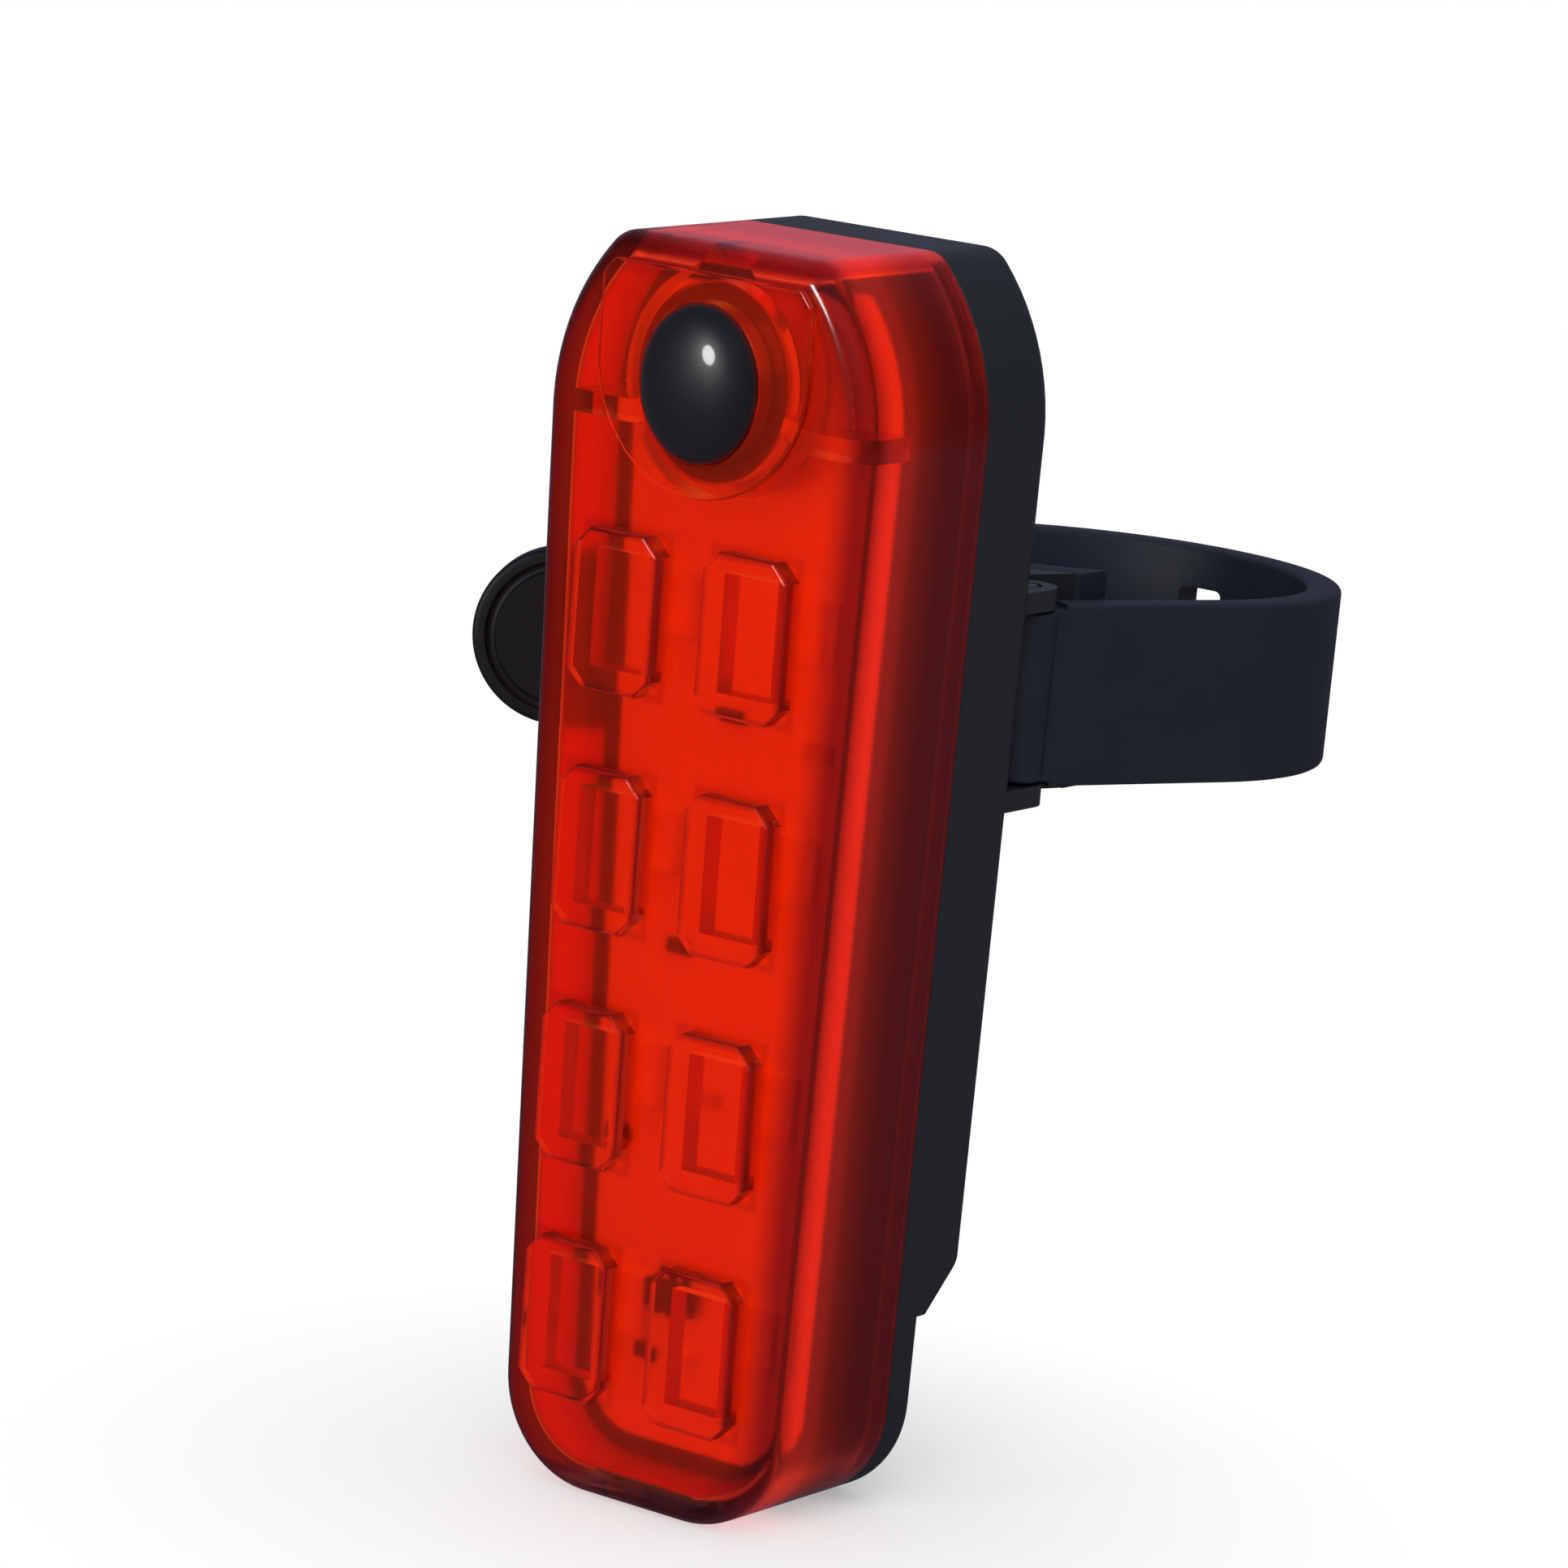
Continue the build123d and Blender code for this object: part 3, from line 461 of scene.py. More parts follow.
def button_rubber(colours):
    """Black rubber with a thin glossy skin."""
    material = moulded("smooth_button_rubber", tuple(colours.button), 0.38, 3000.0, 0.00001)
    shader = material.node_tree.nodes["Principled BSDF"]
    shader.inputs["Coat Weight"].default_value = 0.6
    shader.inputs["Coat Roughness"].default_value = 0.07
    return material


def strap_rubber(colours):
    """Matt rubber, with painted shadow darkening the pull tab."""
    finish = Finish("matt_strap_rubber")
    slow = finish.noise(160.0, 2.0)
    fine = finish.noise(4200.0, 2.0)
    across = finish.place_parts()[0]
    # Painted shadow: the band darkens from 12.6 mm left of the middle, over the pull tab
    painted_tab_shadow = (across / -3.0 - 4.2).clamp()
    strap = tuple(colours.strap)
    tone = finish.mix(slow, shade(strap, 0.8), shade(strap, 1.2))
    finish.set(
        Base_Color=finish.mix(painted_tab_shadow, tone, shade(strap, 0.25)),
        Roughness=(0.55 + (slow - 0.5) * 0.16 + (fine - 0.5) * 0.08).clamp(),
    )
    finish.bump(fine, 0.35, 0.00003)
    return finish.material


def small_parts():
    """Black resistors and tan capacitors, told apart by their places on the board."""
    finish = Finish("small_board_parts")
    across, _, up = finish.place_parts()
    middle = abs(across).under(1.0) * up.under(-10.0)
    tan = (across.over(3.0) + middle).clamp()
    speck = finish.noise(2600.0)
    black = finish.mix(speck, (0.035, 0.03, 0.03), (0.06, 0.05, 0.05))
    finish.set(
        Base_Color=finish.mix(tan, black, (0.62, 0.47, 0.3)),
        Roughness=(0.4 + (speck - 0.5) * 0.2).clamp(),
    )
    finish.bump(speck, 0.2, 0.00002)
    return finish.material


# Slot, name, colour, roughness, grain and grain depth of the plain mouldings
MOULDINGS = (
    ("chip_black", "chip_resin", (0.012, 0.012, 0.013), 0.5, 6000.0, 0.00002),
    ("switch_cream", "switch_housing", (0.6, 0.56, 0.44), 0.45, 5000.0, 0.00002),
    ("tape_foam", "foam_tape", (0.03, 0.03, 0.032), 0.9, 1800.0, 0.00012),
    ("guard_tape", "tape_over_guard_board", (0.55, 0.33, 0.05), 0.35, 1200.0, 0.00004),
    ("lead_red", "red_insulation", (0.45, 0.01, 0.01), 0.4, 4000.0, 0.00001),
    ("lead_black", "black_insulation", (0.01, 0.01, 0.011), 0.4, 4000.0, 0.00001),
)

# Slot, colour, roughness and stretch of the lines of the metals
METALS = (
    ("contact_brass", (0.78, 0.58, 0.28), 0.3, (1.0, 1.0, 0.1)),
    ("socket_steel", (0.6, 0.6, 0.61), 0.28, (0.1, 1.0, 1.0)),
    ("pin_steel", (0.16, 0.16, 0.17), 0.35, (1.0, 1.0, 0.08)),
    ("cell_foil", (0.7, 0.71, 0.73), 0.35, (1.0, 0.2, 0.2)),
)

FINISHES = {}


def make_finishes(colours):
    """All the finishes of the light, by the record's slot names."""
    housing = tuple(colours.housing)
    FINISHES.update(
        red_lens=clear_red(colours),
        black_housing=moulded("satin_black_plastic", housing, 0.42, 5200.0, 0.00003),
        strap_rubber=strap_rubber(colours),
        button_rubber=button_rubber(colours),
        board_white=white_board(colours),
        emitter_white=emitter(),
    )
    for slot, name, *look in MOULDINGS:
        FINISHES[slot] = moulded(name, *look)
    for slot, *look in METALS:
        FINISHES[slot] = metal(slot, *look)


def wear(obj, material):
    """Give a piece one finish, on all its faces."""
    obj.data.materials.clear()
    obj.data.materials.append(material)


# Modelling by hand: small helpers round Blender's own tools


def vec(*parts):
    """A point in metres from millimetres."""
    return Vector(parts) * MM


def choose(obj):
    """Select one piece alone and make it active."""
    bpy.ops.object.select_all(action="DESELECT")
    obj.select_set(True)
    bpy.context.view_layer.objects.active = obj


def start(adder, name, scale=(1, 1, 1), **settings):
    """Add a primitive, name it, and apply its place, turn and scale."""
    bpy.ops.object.select_all(action="DESELECT")
    adder(**settings)
    obj = bpy.context.object
    obj.scale = scale
    obj.name = name
    obj.data.name = name
    bpy.ops.object.transform_apply(location=True, rotation=True, scale=True)
    return obj


def cylinder(name, radius, tall, place=(0, 0, 0), vertices=48, **settings):
    """A closed cylinder, from millimetres."""
    return start(
        bpy.ops.mesh.primitive_cylinder_add,
        name,
        vertices=vertices,
        radius=radius * MM,
        depth=tall * MM,
        location=vec(*place),
        **settings,
    )


def edit(obj):
    """Open one piece for editing, with nothing selected."""
    choose(obj)
    bpy.ops.object.mode_set(mode="EDIT")
    bpy.ops.mesh.select_all(action="DESELECT")


def edit_all(obj):
    """Open one piece for editing, with all of it selected."""
    edit(obj)
    bpy.ops.mesh.select_all(action="SELECT")


def done():
    """Close the piece that is open for editing."""
    bpy.ops.object.mode_set(mode="OBJECT")


def pick(obj, kind, test):
    """Select the faces or edges that pass a test, in an open piece."""
    bpy.ops.mesh.select_mode(type={"faces": "FACE", "edges": "EDGE"}[kind])
    bpy.ops.mesh.select_all(action="DESELECT")
    mesh = bmesh.from_edit_mesh(obj.data)
    for item in getattr(mesh, kind):
        if test(item):
            item.select_set(True)
    mesh.select_flush_mode()
    bmesh.update_edit_mesh(obj.data)


def runs_along(edge, way):
    """Whether an edge runs along a direction."""
    run = edge.verts[1].co - edge.verts[0].co
    return abs(run.normalized().dot(way)) > 0.9


def cut(plane_co, plane_no, **settings):
    """Cut what is selected along a plane and close the cut."""
    bpy.ops.mesh.bisect(plane_co=plane_co, plane_no=plane_no, use_fill=True, **settings)


def extrude(step):
    """Extrude the selected face by one step."""
    bpy.ops.mesh.extrude_region_move(TRANSFORM_OT_translate={"value": step})


def run_on(step, count):
    """Extrude the selected face by equal steps."""
    for _ in range(count):
        extrude(step)


def swing(steps, angle):
    """Spin the selected face about the post's axis, anticlockwise as seen from above."""
    swing_about((0, 0, 0), steps, angle)


def swing_about(centre, steps, angle):
    """Spin the selected face about an upright line, anticlockwise as seen from above."""
    bpy.ops.mesh.spin(
        steps=steps, angle=-angle, center=centre, axis=(0, 0, 1), use_auto_merge=False
    )


def apply_all(obj):
    """Apply every modifier of a piece in order."""
    choose(obj)
    for modifier in list(obj.modifiers):
        bpy.ops.object.modifier_apply(modifier=modifier.name)


def combine(obj, tool, operation):
    """Join or cut with another closed piece, which is then deleted."""
    modifier = obj.modifiers.new("combine", "BOOLEAN")
    modifier.operation = operation
    modifier.solver = "EXACT"
    modifier.object = tool
    apply_all(obj)
    choose(tool)
    bpy.ops.object.delete()


def smooth(obj, angle=35.0):
    """Merge doubles, point the faces outwards, and shade by angle."""
    edit_all(obj)
    bpy.ops.mesh.remove_doubles(threshold=2e-6)
    bpy.ops.mesh.normals_make_consistent(inside=False)
    done()
    bpy.ops.object.shade_smooth_by_angle(angle=radians(angle))


def round_rims(obj, width, segments=3):
    """Bevel a piece's sharp edges."""
    modifier = obj.modifiers.new("rims", "BEVEL")
    modifier.width = width * MM
    modifier.segments = segments
    modifier.limit_method = "ANGLE"
    modifier.angle_limit = radians(40.0)
    apply_all(obj)


def finish_piece(obj, slot, nodes):
    """Give a piece the finish of a slot, and hide the CAD nodes that it stands for."""
    wear(obj, FINISHES[slot])
    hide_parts(*nodes)


# The strap's line in plan, worked out from the pin and the hook


class StrapLine:
    """Where the strap touches the post's circle, and the frame of its left flank."""

    def __init__(self, sizes):
        self.middle = sizes.post_radius + sizes.strap_thickness / 2
        self.outside = sizes.post_radius + sizes.strap_thickness
        self.right = self.touch(sizes.pin_x, sizes.pin_y, 1)
        self.left = self.touch(sizes.hook_x, sizes.hook_y, -1) % (2 * pi)
        self.along = Vector((-sin(self.left), cos(self.left), 0))
        self.outward = Vector((cos(self.left), sin(self.left), 0))
        self.hook_run = Vector((sizes.hook_x, sizes.hook_y, 0)).dot(self.along)

    def touch(self, x, y, side):
        """Angle where a line from a point touches the post's circle, on one side."""
        return atan2(y, x) + side * acos(self.middle / hypot(x, y))

    def on_circle(self, angle):
        """The middle of the band at an angle round the post."""
        return Vector((cos(angle), sin(angle), 0)) * self.middle

    def on_flank(self, run):
        """The middle of the band on its left flank, at a run past the circle."""
        return self.on_circle(self.left) + self.along * run


def band_section(name, sizes, line, angle):
    """The band's rounded section, as one face square to its run on the post's circle."""
    obj = start(
        bpy.ops.mesh.primitive_plane_add,
        name,
        size=1.0,
        location=line.on_circle(angle) * MM,
        rotation=(pi / 2, 0, angle),
        scale=(sizes.strap_thickness * MM, sizes.strap_width * MM, 1.0),
    )
    edit_all(obj)
    bpy.ops.mesh.bevel(
        offset=sizes.strap_round * MM, segments=4, affect="VERTICES", clamp_overlap=False
    )
    bpy.ops.mesh.select_all(action="SELECT")
    return obj


def pick_end(obj, place):
    """Select the band's end face at a place."""
    pick(
        obj,
        "faces",
        lambda face: len(face.verts) > 4
        and (face.calc_center_median() - place).length < 0.05 * MM,
    )


def cut_slot(obj, sizes, centre, along, height):
    """Cut a round-cornered slot through the band."""
    cutter = start(
        bpy.ops.mesh.primitive_cube_add,
        "slot_cutter",
        size=1.0,
        location=centre * MM,
        rotation=(0, 0, atan2(along.y, along.x)),
        scale=(sizes.slot_length * MM, 3 * sizes.strap_thickness * MM, height * MM),
    )
    across = Vector((-along.y, along.x, 0))
    edit(cutter)
    pick(cutter, "edges", lambda edge: runs_along(edge, across))
    bpy.ops.mesh.bevel(offset=sizes.slot_corner * MM, segments=3)
    done()
    combine(obj, cutter, "DIFFERENCE")


def cut_spare_slots(obj, sizes, line, wanted):
    """Cut the spare slots whose angles round the post pass a test."""
    for place in range(3):
        angle = sizes.first_slot - place * sizes.slot_pitch / line.middle
        if wanted(angle):
            along = Vector((-sin(angle), cos(angle), 0))
            cut_slot(obj, sizes, line.on_circle(angle), along, sizes.slot_height)


def sag(obj, sizes):
    """Let the free loop fall a little towards its back, turning about its pin."""
    edit_all(obj)
    bpy.ops.transform.rotate(
        value=sizes.strap_sag, orient_axis="X", center_override=vec(0, sizes.pin_y, 0)
    )
    done()


SEAM_ANGLE = radians(148.0)


class RearLightStrapLoop(bpy.types.Operator):
    """Rubber band from the eye on its pin, round the right side and the back of the post"""

    bl_idname = "rear_light.strap_loop"
    bl_label = "Strap loop"

    def execute(self, context):
        sizes = context.scene.rear_light_sizes
        line = StrapLine(sizes)
        obj = band_section("strap_loop", sizes, line, line.right)
        swing(84, SEAM_ANGLE - line.right)
        touch = line.on_circle(line.right) * MM
        pick_end(obj, touch)
        pin = (sizes.pin_x, sizes.pin_y, 0)
        run_on((vec(*pin) - touch) / 8, 8)
        done()
        smooth(obj)
        eye = cylinder("eye", sizes.eye_radius, sizes.eye_height, pin)
        round_rims(eye, 0.25)
        self.narrow(obj, sizes)
        combine(obj, eye, "UNION")
        bore = cylinder("bore", sizes.eye_bore, 2 * sizes.strap_width, pin, 40)
        combine(obj, bore, "DIFFERENCE")
        cut_spare_slots(obj, sizes, line, lambda angle: angle < SEAM_ANGLE)
        sag(obj, sizes)
        smooth(obj)
        finish_piece(obj, "strap_rubber", ["strap_fixed_half"])
        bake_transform(obj)
        return {"FINISHED"}

    def narrow(self, obj, sizes):
        """Cut the band down to the eye's height where it runs between the lugs."""
        spare = (sizes.strap_width - sizes.eye_height) / 2
        for side in (-1, 1):
            place = (sizes.pin_x, sizes.pin_y, side * (sizes.eye_height / 2 + spare))
            step = cylinder("step", sizes.eye_room, 2 * spare, place, 64)
            round_rims(step, 0.2)
            combine(obj, step, "DIFFERENCE")


class RearLightStrapTail(bpy.types.Operator):
    """Rubber band round the left side, its flank with the hook slot, the bend and the tab"""

    bl_idname = "rear_light.strap_tail"
    bl_label = "Strap tail and pull tab"

    def execute(self, context):
        sizes = context.scene.rear_light_sizes
        line = StrapLine(sizes)
        obj = band_section("strap_tail", sizes, line, SEAM_ANGLE)
        swing(30, line.left - SEAM_ANGLE)
        pick_end(obj, line.on_circle(line.left) * MM)
        run = line.hook_run + sizes.bend_lead
        run_on(line.along * (run * MM / 10), 10)
        bend_middle = (line.on_flank(run) + line.outward * sizes.bend_radius) * MM
        heading = atan2(line.along.y, line.along.x)
        swing_about(bend_middle, 16, (sizes.tab_angle - heading) % (2 * pi) - 2 * pi)
        forward, front, middle = self.tab_end(sizes, bend_middle)
        straight = sizes.tab_reach - sizes.tab_radius
        run_on(forward * (straight * MM / 8), 8)
        done()
        smooth(obj)
        self.disc(obj, sizes, middle)
        hook_slot = line.on_flank(line.hook_run + sizes.slot_forward)
        cut_slot(obj, sizes, hook_slot, line.along, sizes.hook_slot_height)
        cut_spare_slots(obj, sizes, line, lambda angle: angle > SEAM_ANGLE)
        self.rim_line(obj, sizes, forward, front, middle)
        sag(obj, sizes)
        smooth(obj)
        finish_piece(obj, "strap_rubber", ["strap_left_arc", "strap_end"])
        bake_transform(obj)
        return {"FINISHED"}

    def tab_end(self, sizes, bend_middle):
        """The way the tab points, the way its front looks, and its round end's middle."""
        angle, drop = sizes.tab_angle, sizes.tab_droop
        forward = Vector((cos(angle) * cos(drop), sin(angle) * cos(drop), -sin(drop)))
        front = Vector((-sin(angle), cos(angle), 0))
        reach = forward * (sizes.tab_reach - sizes.tab_radius)
        return forward, front, bend_middle + (front * sizes.bend_radius + reach) * MM

    def disc(self, obj, sizes, middle):
        """Join the round end of the tab, with rounded rims."""
        disc = cylinder(
            "tab_disc",
            sizes.tab_radius,
            sizes.strap_thickness,
            middle / MM,
            96,
            rotation=(pi / 2, 0, sizes.tab_angle),
        )
        round_rims(disc, sizes.strap_round, 4)
        combine(obj, disc, "UNION")

    def rim_line(self, obj, sizes, forward, front, middle):
        """Cut the thin groove inside the tab's round rim, on its front."""
        groove = start(
            bpy.ops.mesh.primitive_torus_add,
            "rim_line",
            major_radius=(sizes.tab_radius - sizes.rim_inset) * MM,
            minor_radius=sizes.rim_radius * MM,
            major_segments=72,
            minor_segments=12,
            location=middle + front * (sizes.strap_thickness / 2 + 0.08) * MM,
            rotation=(pi / 2, 0, sizes.tab_angle),
        )
        edit_all(groove)
        # Points of the ring stand 0.1 mm from the plane, so it may not draw them to itself
        cut(middle + forward * 0.1 * MM, forward, clear_inner=True, threshold=0.01 * MM)
        done()
        combine(obj, groove, "DIFFERENCE")


class RearLightButton(bpy.types.Operator):
    """Domed rubber button with its skirt and the flange behind the lens"""

    bl_idname = "rear_light.button"
    bl_label = "Button"

    def execute(self, context):
        sizes = context.scene.rear_light_sizes
        rim = LENS_FACE - sizes.button_proud
        obj = start(
            bpy.ops.mesh.primitive_uv_sphere_add,
            "button_dome",
            segments=64,
            ring_count=32,
            radius=1.0,
            location=vec(0, rim, sizes.button_z),
            rotation=(pi / 2, 0, 0),
            scale=vec(sizes.button_width, sizes.button_height, sizes.button_rise),
        )
        edit_all(obj)
        cut(vec(0, rim, 0), (0, -1, 0), clear_inner=True)
        pick(obj, "faces", lambda face: len(face.verts) > 8)
        extrude(vec(0, sizes.skirt_depth, 0))
        extrude((0, 0, 0))
        wider, taller = (
            (half + sizes.flange_reach) / half
            for half in (sizes.button_width, sizes.button_height)
        )
        bpy.ops.transform.resize(
            value=(wider, 1, taller),
            center_override=vec(0, rim + sizes.skirt_depth, sizes.button_z),
        )
        extrude(vec(0, sizes.flange_depth, 0))
        bpy.ops.mesh.inset(thickness=sizes.stem_inset * MM)
        extrude(vec(0, sizes.stem_length, 0))
        done()
        smooth(obj, 40.0)
        finish_piece(obj, "button_rubber", ["button_cap"])
        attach(obj, "button")
        return {"FINISHED"}


class RearLightPortCover(bpy.types.Operator):
    """Rubber cover of the charging port with its plug and lip, and its tether and anchor"""

    bl_idname = "rear_light.port_cover"
    bl_label = "Port cover and tether"

    def execute(self, context):
        sizes = context.scene.rear_light_sizes
        self.cover(sizes)
        self.tether(sizes)
        return {"FINISHED"}

    def cover(self, sizes):
        """The cover: a rounded block cut at its seat, dished, with a plug and a lip."""
        floor, height = sizes.cover_floor, sizes.cover_z
        rise = sizes.cover_crest - floor
        full = (2 * sizes.cover_width, 2 * rise, 2 * sizes.cover_height)
        cover = self.block("cover", (0, floor, height), full, sizes.cover_corner, 10)
        round_rims(cover, sizes.cover_round, 6)
        edit_all(cover)
        cut(vec(0, floor, height), (0, 1, 0), clear_inner=True)
        pick(cover, "faces", lambda face: face.normal.y > 0.99 and len(face.verts) > 8)
        bpy.ops.mesh.inset(thickness=0.5 * MM, depth=0)
        bpy.ops.mesh.inset(thickness=0.12 * MM, depth=-0.12 * MM)
        done()
        lap = 0.05
        plug = self.block(
            "plug",
            (0, floor + lap - sizes.plug_depth / 2, height),
            (sizes.plug_width, sizes.plug_depth + 2 * lap, sizes.plug_height),
            0.4,
            4,
        )
        lip = self.block(
            "lip",
            (sizes.cover_width - 0.3, floor + 0.82, height),
            (sizes.lip_length, 0.6, sizes.lip_length),
            0.65,
            6,
        )
        for piece in (plug, lip):
            round_rims(piece, 0.2)
            combine(cover, piece, "UNION")
        smooth(cover)
        finish_piece(cover, "button_rubber", ["port_cover"])
        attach(cover, "cover")

    def block(self, name, place, full, corner, segments):
        """A block with round corners as seen from behind."""
        obj = start(
            bpy.ops.mesh.primitive_cube_add,
            name,
            size=1.0,
            location=vec(*place),
            scale=vec(*full),
        )
        edit(obj)
        pick(obj, "edges", lambda edge: runs_along(edge, Vector((0, 1, 0))))
        bpy.ops.mesh.bevel(offset=corner * MM, segments=segments)
        done()
        return obj

    def tether(self, sizes):
        """Strip from inside the cover to the anchor, with the anchor's head and barb."""
        floor, height = sizes.cover_floor, sizes.cover_z
        near, far = 0.6 - sizes.cover_width, -sizes.anchor_offset
        thick, head = sizes.tether_thickness, sizes.anchor_radius
        obj = start(
            bpy.ops.mesh.primitive_plane_add,
            "cover_tether",
            size=1.0,
            location=vec(near, floor + thick / 2, height),
            rotation=(pi / 2, 0, pi / 2),
            scale=(thick * MM, sizes.tether_width * MM, 1.0),
        )
        edit_all(obj)
        bpy.ops.mesh.bevel(offset=0.2 * MM, segments=3, affect="VERTICES")
        bpy.ops.mesh.select_all(action="SELECT")
        run_on(vec((far - near) / 14, 0, 0), 14)
        done()
        rings = ((head, 0.0, thick), (0.7, -1.4, 0.2), (0.95, -1.8, -1.0))
        for radius, inner, outer in rings:
            middle = (far, floor + (inner + outer) / 2, height)
            ring = cylinder("anchor", radius, outer - inner, middle, rotation=(pi / 2, 0, 0))
            round_rims(ring, 0.15)
            combine(obj, ring, "UNION")
        smooth(obj)
        finish_piece(obj, "button_rubber", ["cover_anchor"])
        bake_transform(obj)


class RearLightPad(bpy.types.Operator):
    """Grooved rubber pad in the saddle, with softened rims"""

    bl_idname = "rear_light.pad"
    bl_label = "Saddle pad"

    def execute(self, context):
        sizes = context.scene.rear_light_sizes
        tall, wide = sizes.pad_height, sizes.pad_width
        obj = self.drum("grooved_pad", sizes.post_radius + sizes.pad_thickness, tall)
        combine(obj, self.drum("bore", sizes.post_radius, 2 * tall), "DIFFERENCE")
        edit(obj)
        cuts = (((wide, 0, 0), (1, 0, 0)), ((-wide, 0, 0), (-1, 0, 0)), ((0, 0, 0), (0, 1, 0)))
        for place, normal in cuts:
            bpy.ops.mesh.select_all(action="SELECT")
            cut(vec(*place), normal, clear_outer=True)
        done()
        round_rims(obj, 0.2)
        pitch = tall / (sizes.pad_grooves + 1)
        radius = sizes.post_radius + sizes.groove_depth
        for step in range(sizes.pad_grooves):
            height = (step + 1) * pitch - tall / 2
            groove = self.drum("groove", radius, sizes.groove_width, height)
            round_rims(groove, 0.25)
            combine(obj, groove, "DIFFERENCE")
        smooth(obj)
        finish_piece(obj, "strap_rubber", ["saddle_pad"])
        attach(obj, "body")
        return {"FINISHED"}

    def drum(self, name, radius, tall, height=0.0):
        return cylinder(name, radius, tall, (0, 0, height), 128)


# The studio


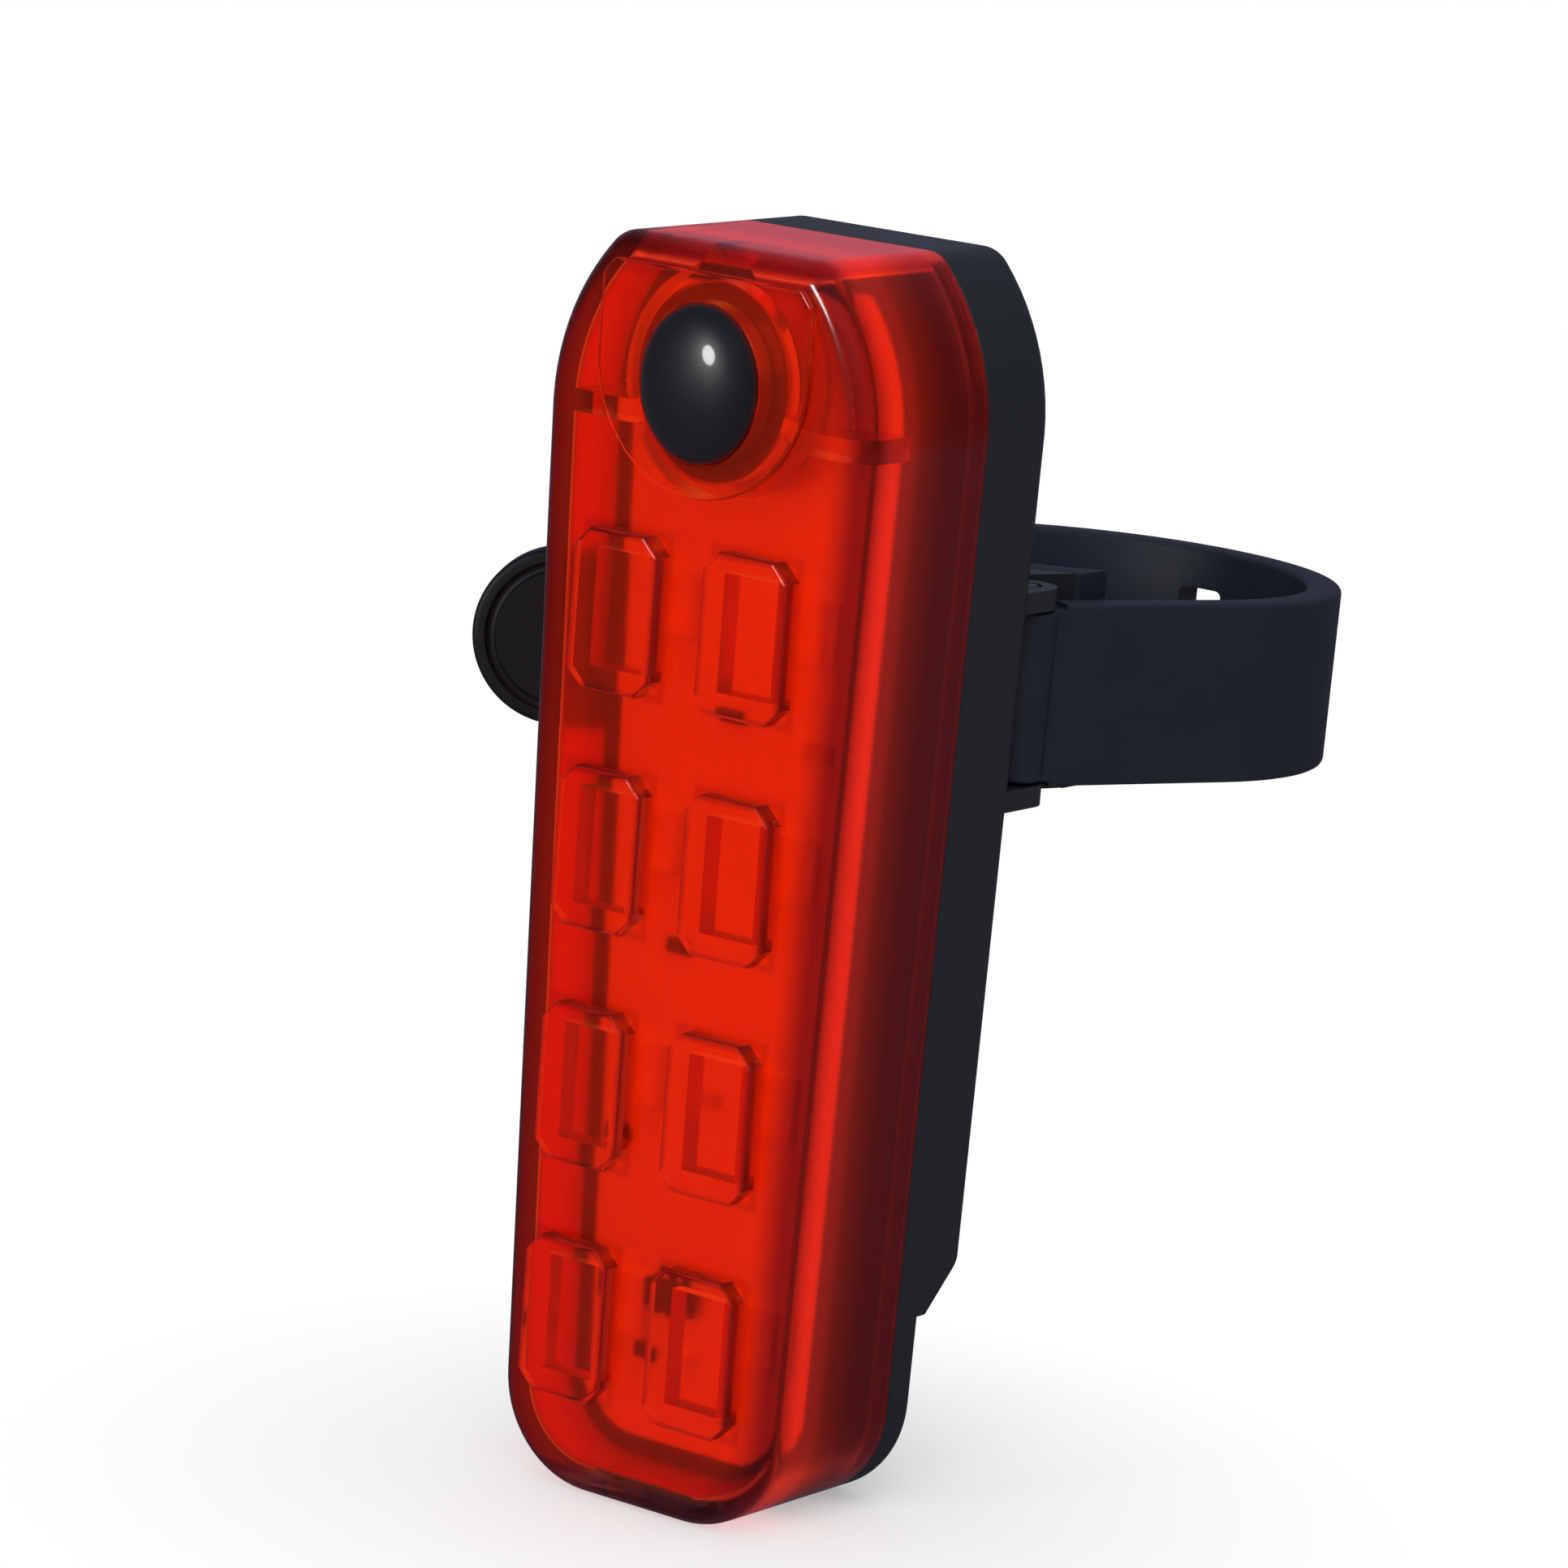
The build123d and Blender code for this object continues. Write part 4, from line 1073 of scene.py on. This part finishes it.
class RearLightStage(bpy.types.Operator):
    """Pale floor, soft lamps, dark tent, white world and the camera at the photo's view"""

    bl_idname = "rear_light.stage"
    bl_label = "Stage"

    def execute(self, context):
        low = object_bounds()[0].z
        self.floor(low - 0.02 * MM)
        self.tent(low)
        self.area("key_right", (0.25, -0.40, 0.30), 0.50, 1.5)
        self.area("top_soft", (0.0, 0.05, 0.50), 0.80, 1.7)
        self.area("small_left", (-0.13, -0.44, 0.095), 0.09, 0.5, mirrored=True)
        self.world(context.scene)
        self.camera(context.scene)
        return {"FINISHED"}

    def floor(self, height):
        """A pale floor round the light that fades into the white background."""
        floor = start(
            bpy.ops.mesh.primitive_circle_add,
            "floor",
            vertices=96,
            radius=0.9,
            fill_type="NGON",
            location=(0, 0, height),
        )
        finish = Finish("pale_floor")
        grain = finish.noise(30.0)
        pale = finish.mix(grain, (0.95, 0.95, 0.95), (0.97, 0.97, 0.97))
        finish.set(Base_Color=pale, Roughness=0.9)
        white = finish.node("ShaderNodeEmission", {}, ((1.0, 1.0, 1.0, 1.0), 1.0))
        foot = (0.0, -0.03, height)
        away = Sock(finish, finish.node(
            "ShaderNodeVectorMath", {"operation": "DISTANCE"}, (finish.place(), foot), out=1
        ))
        fade = ((away - 0.012) * 20.0 + 0.45).clamp() * finish.shown()
        faded = finish.node("ShaderNodeMixShader", {}, (fade, finish.shader.outputs[0], white))
        finish.feed(finish.nodes["Material Output"].inputs[0], faded)
        wear(floor, finish.material)
        floor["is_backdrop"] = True

    def tent(self, height):
        """A dark tent that only mirrored rays meet: bluish at the back and to the left."""
        tent = start(
            bpy.ops.mesh.primitive_cylinder_add,
            "dark_tent",
            vertices=48,
            radius=0.7,
            depth=0.42,
            location=(0, 0, height + 0.21),
        )
        finish = Finish("dark_cloth")
        across, deep, _ = finish.place_parts(unit=1.0)
        back = ((deep + 0.15) * 2.5).clamp() * (0.7 - across * 1.5).clamp()
        finish.set(
            Base_Color=(0.0, 0.0, 0.0, 1.0),
            Specular_IOR_Level=0.0,
            Emission_Color=finish.mix(back, (0.04, 0.035, 0.04), (0.14, 0.15, 0.22)),
            Emission_Strength=1.0,
        )
        wear(tent, finish.material)
        for kind in ("camera", "diffuse", "shadow", "transmission"):
            setattr(tent, f"visible_{kind}", False)
        tent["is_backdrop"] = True

    def area(self, name, place, width, power, mirrored=False):
        """A round lamp that looks at the light, and that mirrors show only if asked."""
        bpy.ops.object.select_all(action="DESELECT")
        bpy.ops.object.light_add(type="AREA", location=place)
        lamp = bpy.context.object
        lamp.name = name
        lamp.data.shape = "DISK"
        lamp.data.size = width
        lamp.data.energy = power
        lamp.visible_glossy = mirrored
        target = Vector((0, -0.02, -0.005))
        lamp.rotation_euler = (target - Vector(place)).to_track_quat("-Z", "Y").to_euler()

    def world(self, scene):
        """White where it is seen, mirrored or looked through; a dimmer light on the object."""
        world = bpy.data.worlds.new("studio")
        scene.world = world
        world.use_nodes = True
        graph = Graph(world.node_tree)
        dim, white = (
            graph.node("ShaderNodeBackground", {}, look)
            for look in (((0.9, 0.94, 1.0, 1.0), 0.26), ((1.0, 1.0, 1.0, 1.0), 1.0))
        )
        sky = graph.node("ShaderNodeMixShader", {}, (graph.shown(), dim, white))
        graph.feed(graph.nodes["World Output"].inputs[0], sky)

    def camera(self, scene):
        """The camera that was fitted to the photograph, in millimetres and pixels."""
        azimuth, elevation, roll = radians(37.0), radians(12.254), radians(4.321)
        distance, focus = 380.3, 8544.37
        centre_x, centre_y, middle = 935.15, 1073.675, 966.0
        target = Vector((0, -29.0, -10.3))
        level = cos(elevation)
        back = Vector((sin(azimuth) * level, -cos(azimuth) * level, sin(elevation)))
        right = Vector((cos(azimuth), sin(azimuth), 0))
        up = back.cross(right).normalized()
        place = target + back * distance
        turned_right = right * cos(roll) + up * sin(roll)
        turned_up = up * cos(roll) - right * sin(roll)
        pan = atan2(centre_x - middle, focus)
        tilt = atan2(centre_y - middle, focus)
        forward = -back * cos(pan) - turned_right * sin(pan)
        side = turned_right * cos(pan) - back * sin(pan)
        ahead = forward * cos(tilt) + turned_up * sin(tilt)
        crown = turned_up * cos(tilt) - forward * sin(tilt)
        data = bpy.data.cameras.new("view")
        data.lens = focus / (2 * middle) * data.sensor_width
        data.clip_start = 0.01
        data.clip_end = 10.0
        camera = bpy.data.objects.new("view", data)
        scene.collection.objects.link(camera)
        matrix = camera.matrix_world.copy()
        for row in range(3):
            matrix[row][:] = side[row], crown[row], -ahead[row], place[row] * MM
        camera.matrix_world = matrix
        scene.camera = camera


class RearLightFinishes(bpy.types.Operator):
    """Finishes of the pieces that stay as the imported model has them"""

    bl_idname = "rear_light.finishes"
    bl_label = "Finishes"

    def execute(self, context):
        make_finishes(context.scene.rear_light_colours)
        nodes = frame["nodes"]
        for part in frame["record"]["subparts"]:
            wear(nodes[part["node"]], FINISHES[part["material_slot"]])
        wear(nodes["board_resistors"], small_parts())
        nodes["lens_cover"].visible_shadow = False
        return {"FINISHED"}


PIECES = (
    RearLightFinishes,
    RearLightStrapLoop,
    RearLightStrapTail,
    RearLightButton,
    RearLightPortCover,
    RearLightPad,
    RearLightStage,
)


class RearLightPanel(bpy.types.Panel):
    """Lists the pieces of the rear light"""

    bl_idname = "REARLIGHT_PT_pieces"
    bl_label = "Rear light"
    bl_space_type = "VIEW_3D"
    bl_region_type = "UI"
    bl_category = "Rear light"

    def draw(self, context):
        for piece in PIECES:
            self.layout.operator(piece.bl_idname)
        for group in (context.scene.rear_light_sizes, context.scene.rear_light_colours):
            for name in group.__annotations__:
                self.layout.prop(group, name)


CLASSES = (RearLightSizes, RearLightColours, *PIECES, RearLightPanel)


def register():
    for item in CLASSES:
        bpy.utils.register_class(item)
    bpy.types.Scene.rear_light_sizes = PointerProperty(type=RearLightSizes)
    bpy.types.Scene.rear_light_colours = PointerProperty(type=RearLightColours)


def unregister():
    del bpy.types.Scene.rear_light_colours
    del bpy.types.Scene.rear_light_sizes
    for item in reversed(CLASSES):
        bpy.utils.unregister_class(item)


def main():
    register()
    bpy.context.scene.view_settings.view_transform = "Standard"
    bpy.ops.rear_light.finishes()
    bpy.ops.rear_light.strap_loop()
    bpy.ops.rear_light.strap_tail()
    bpy.ops.rear_light.button()
    bpy.ops.rear_light.port_cover()
    bpy.ops.rear_light.pad()
    bpy.ops.rear_light.stage()


if __name__ == "__main__":
    main()
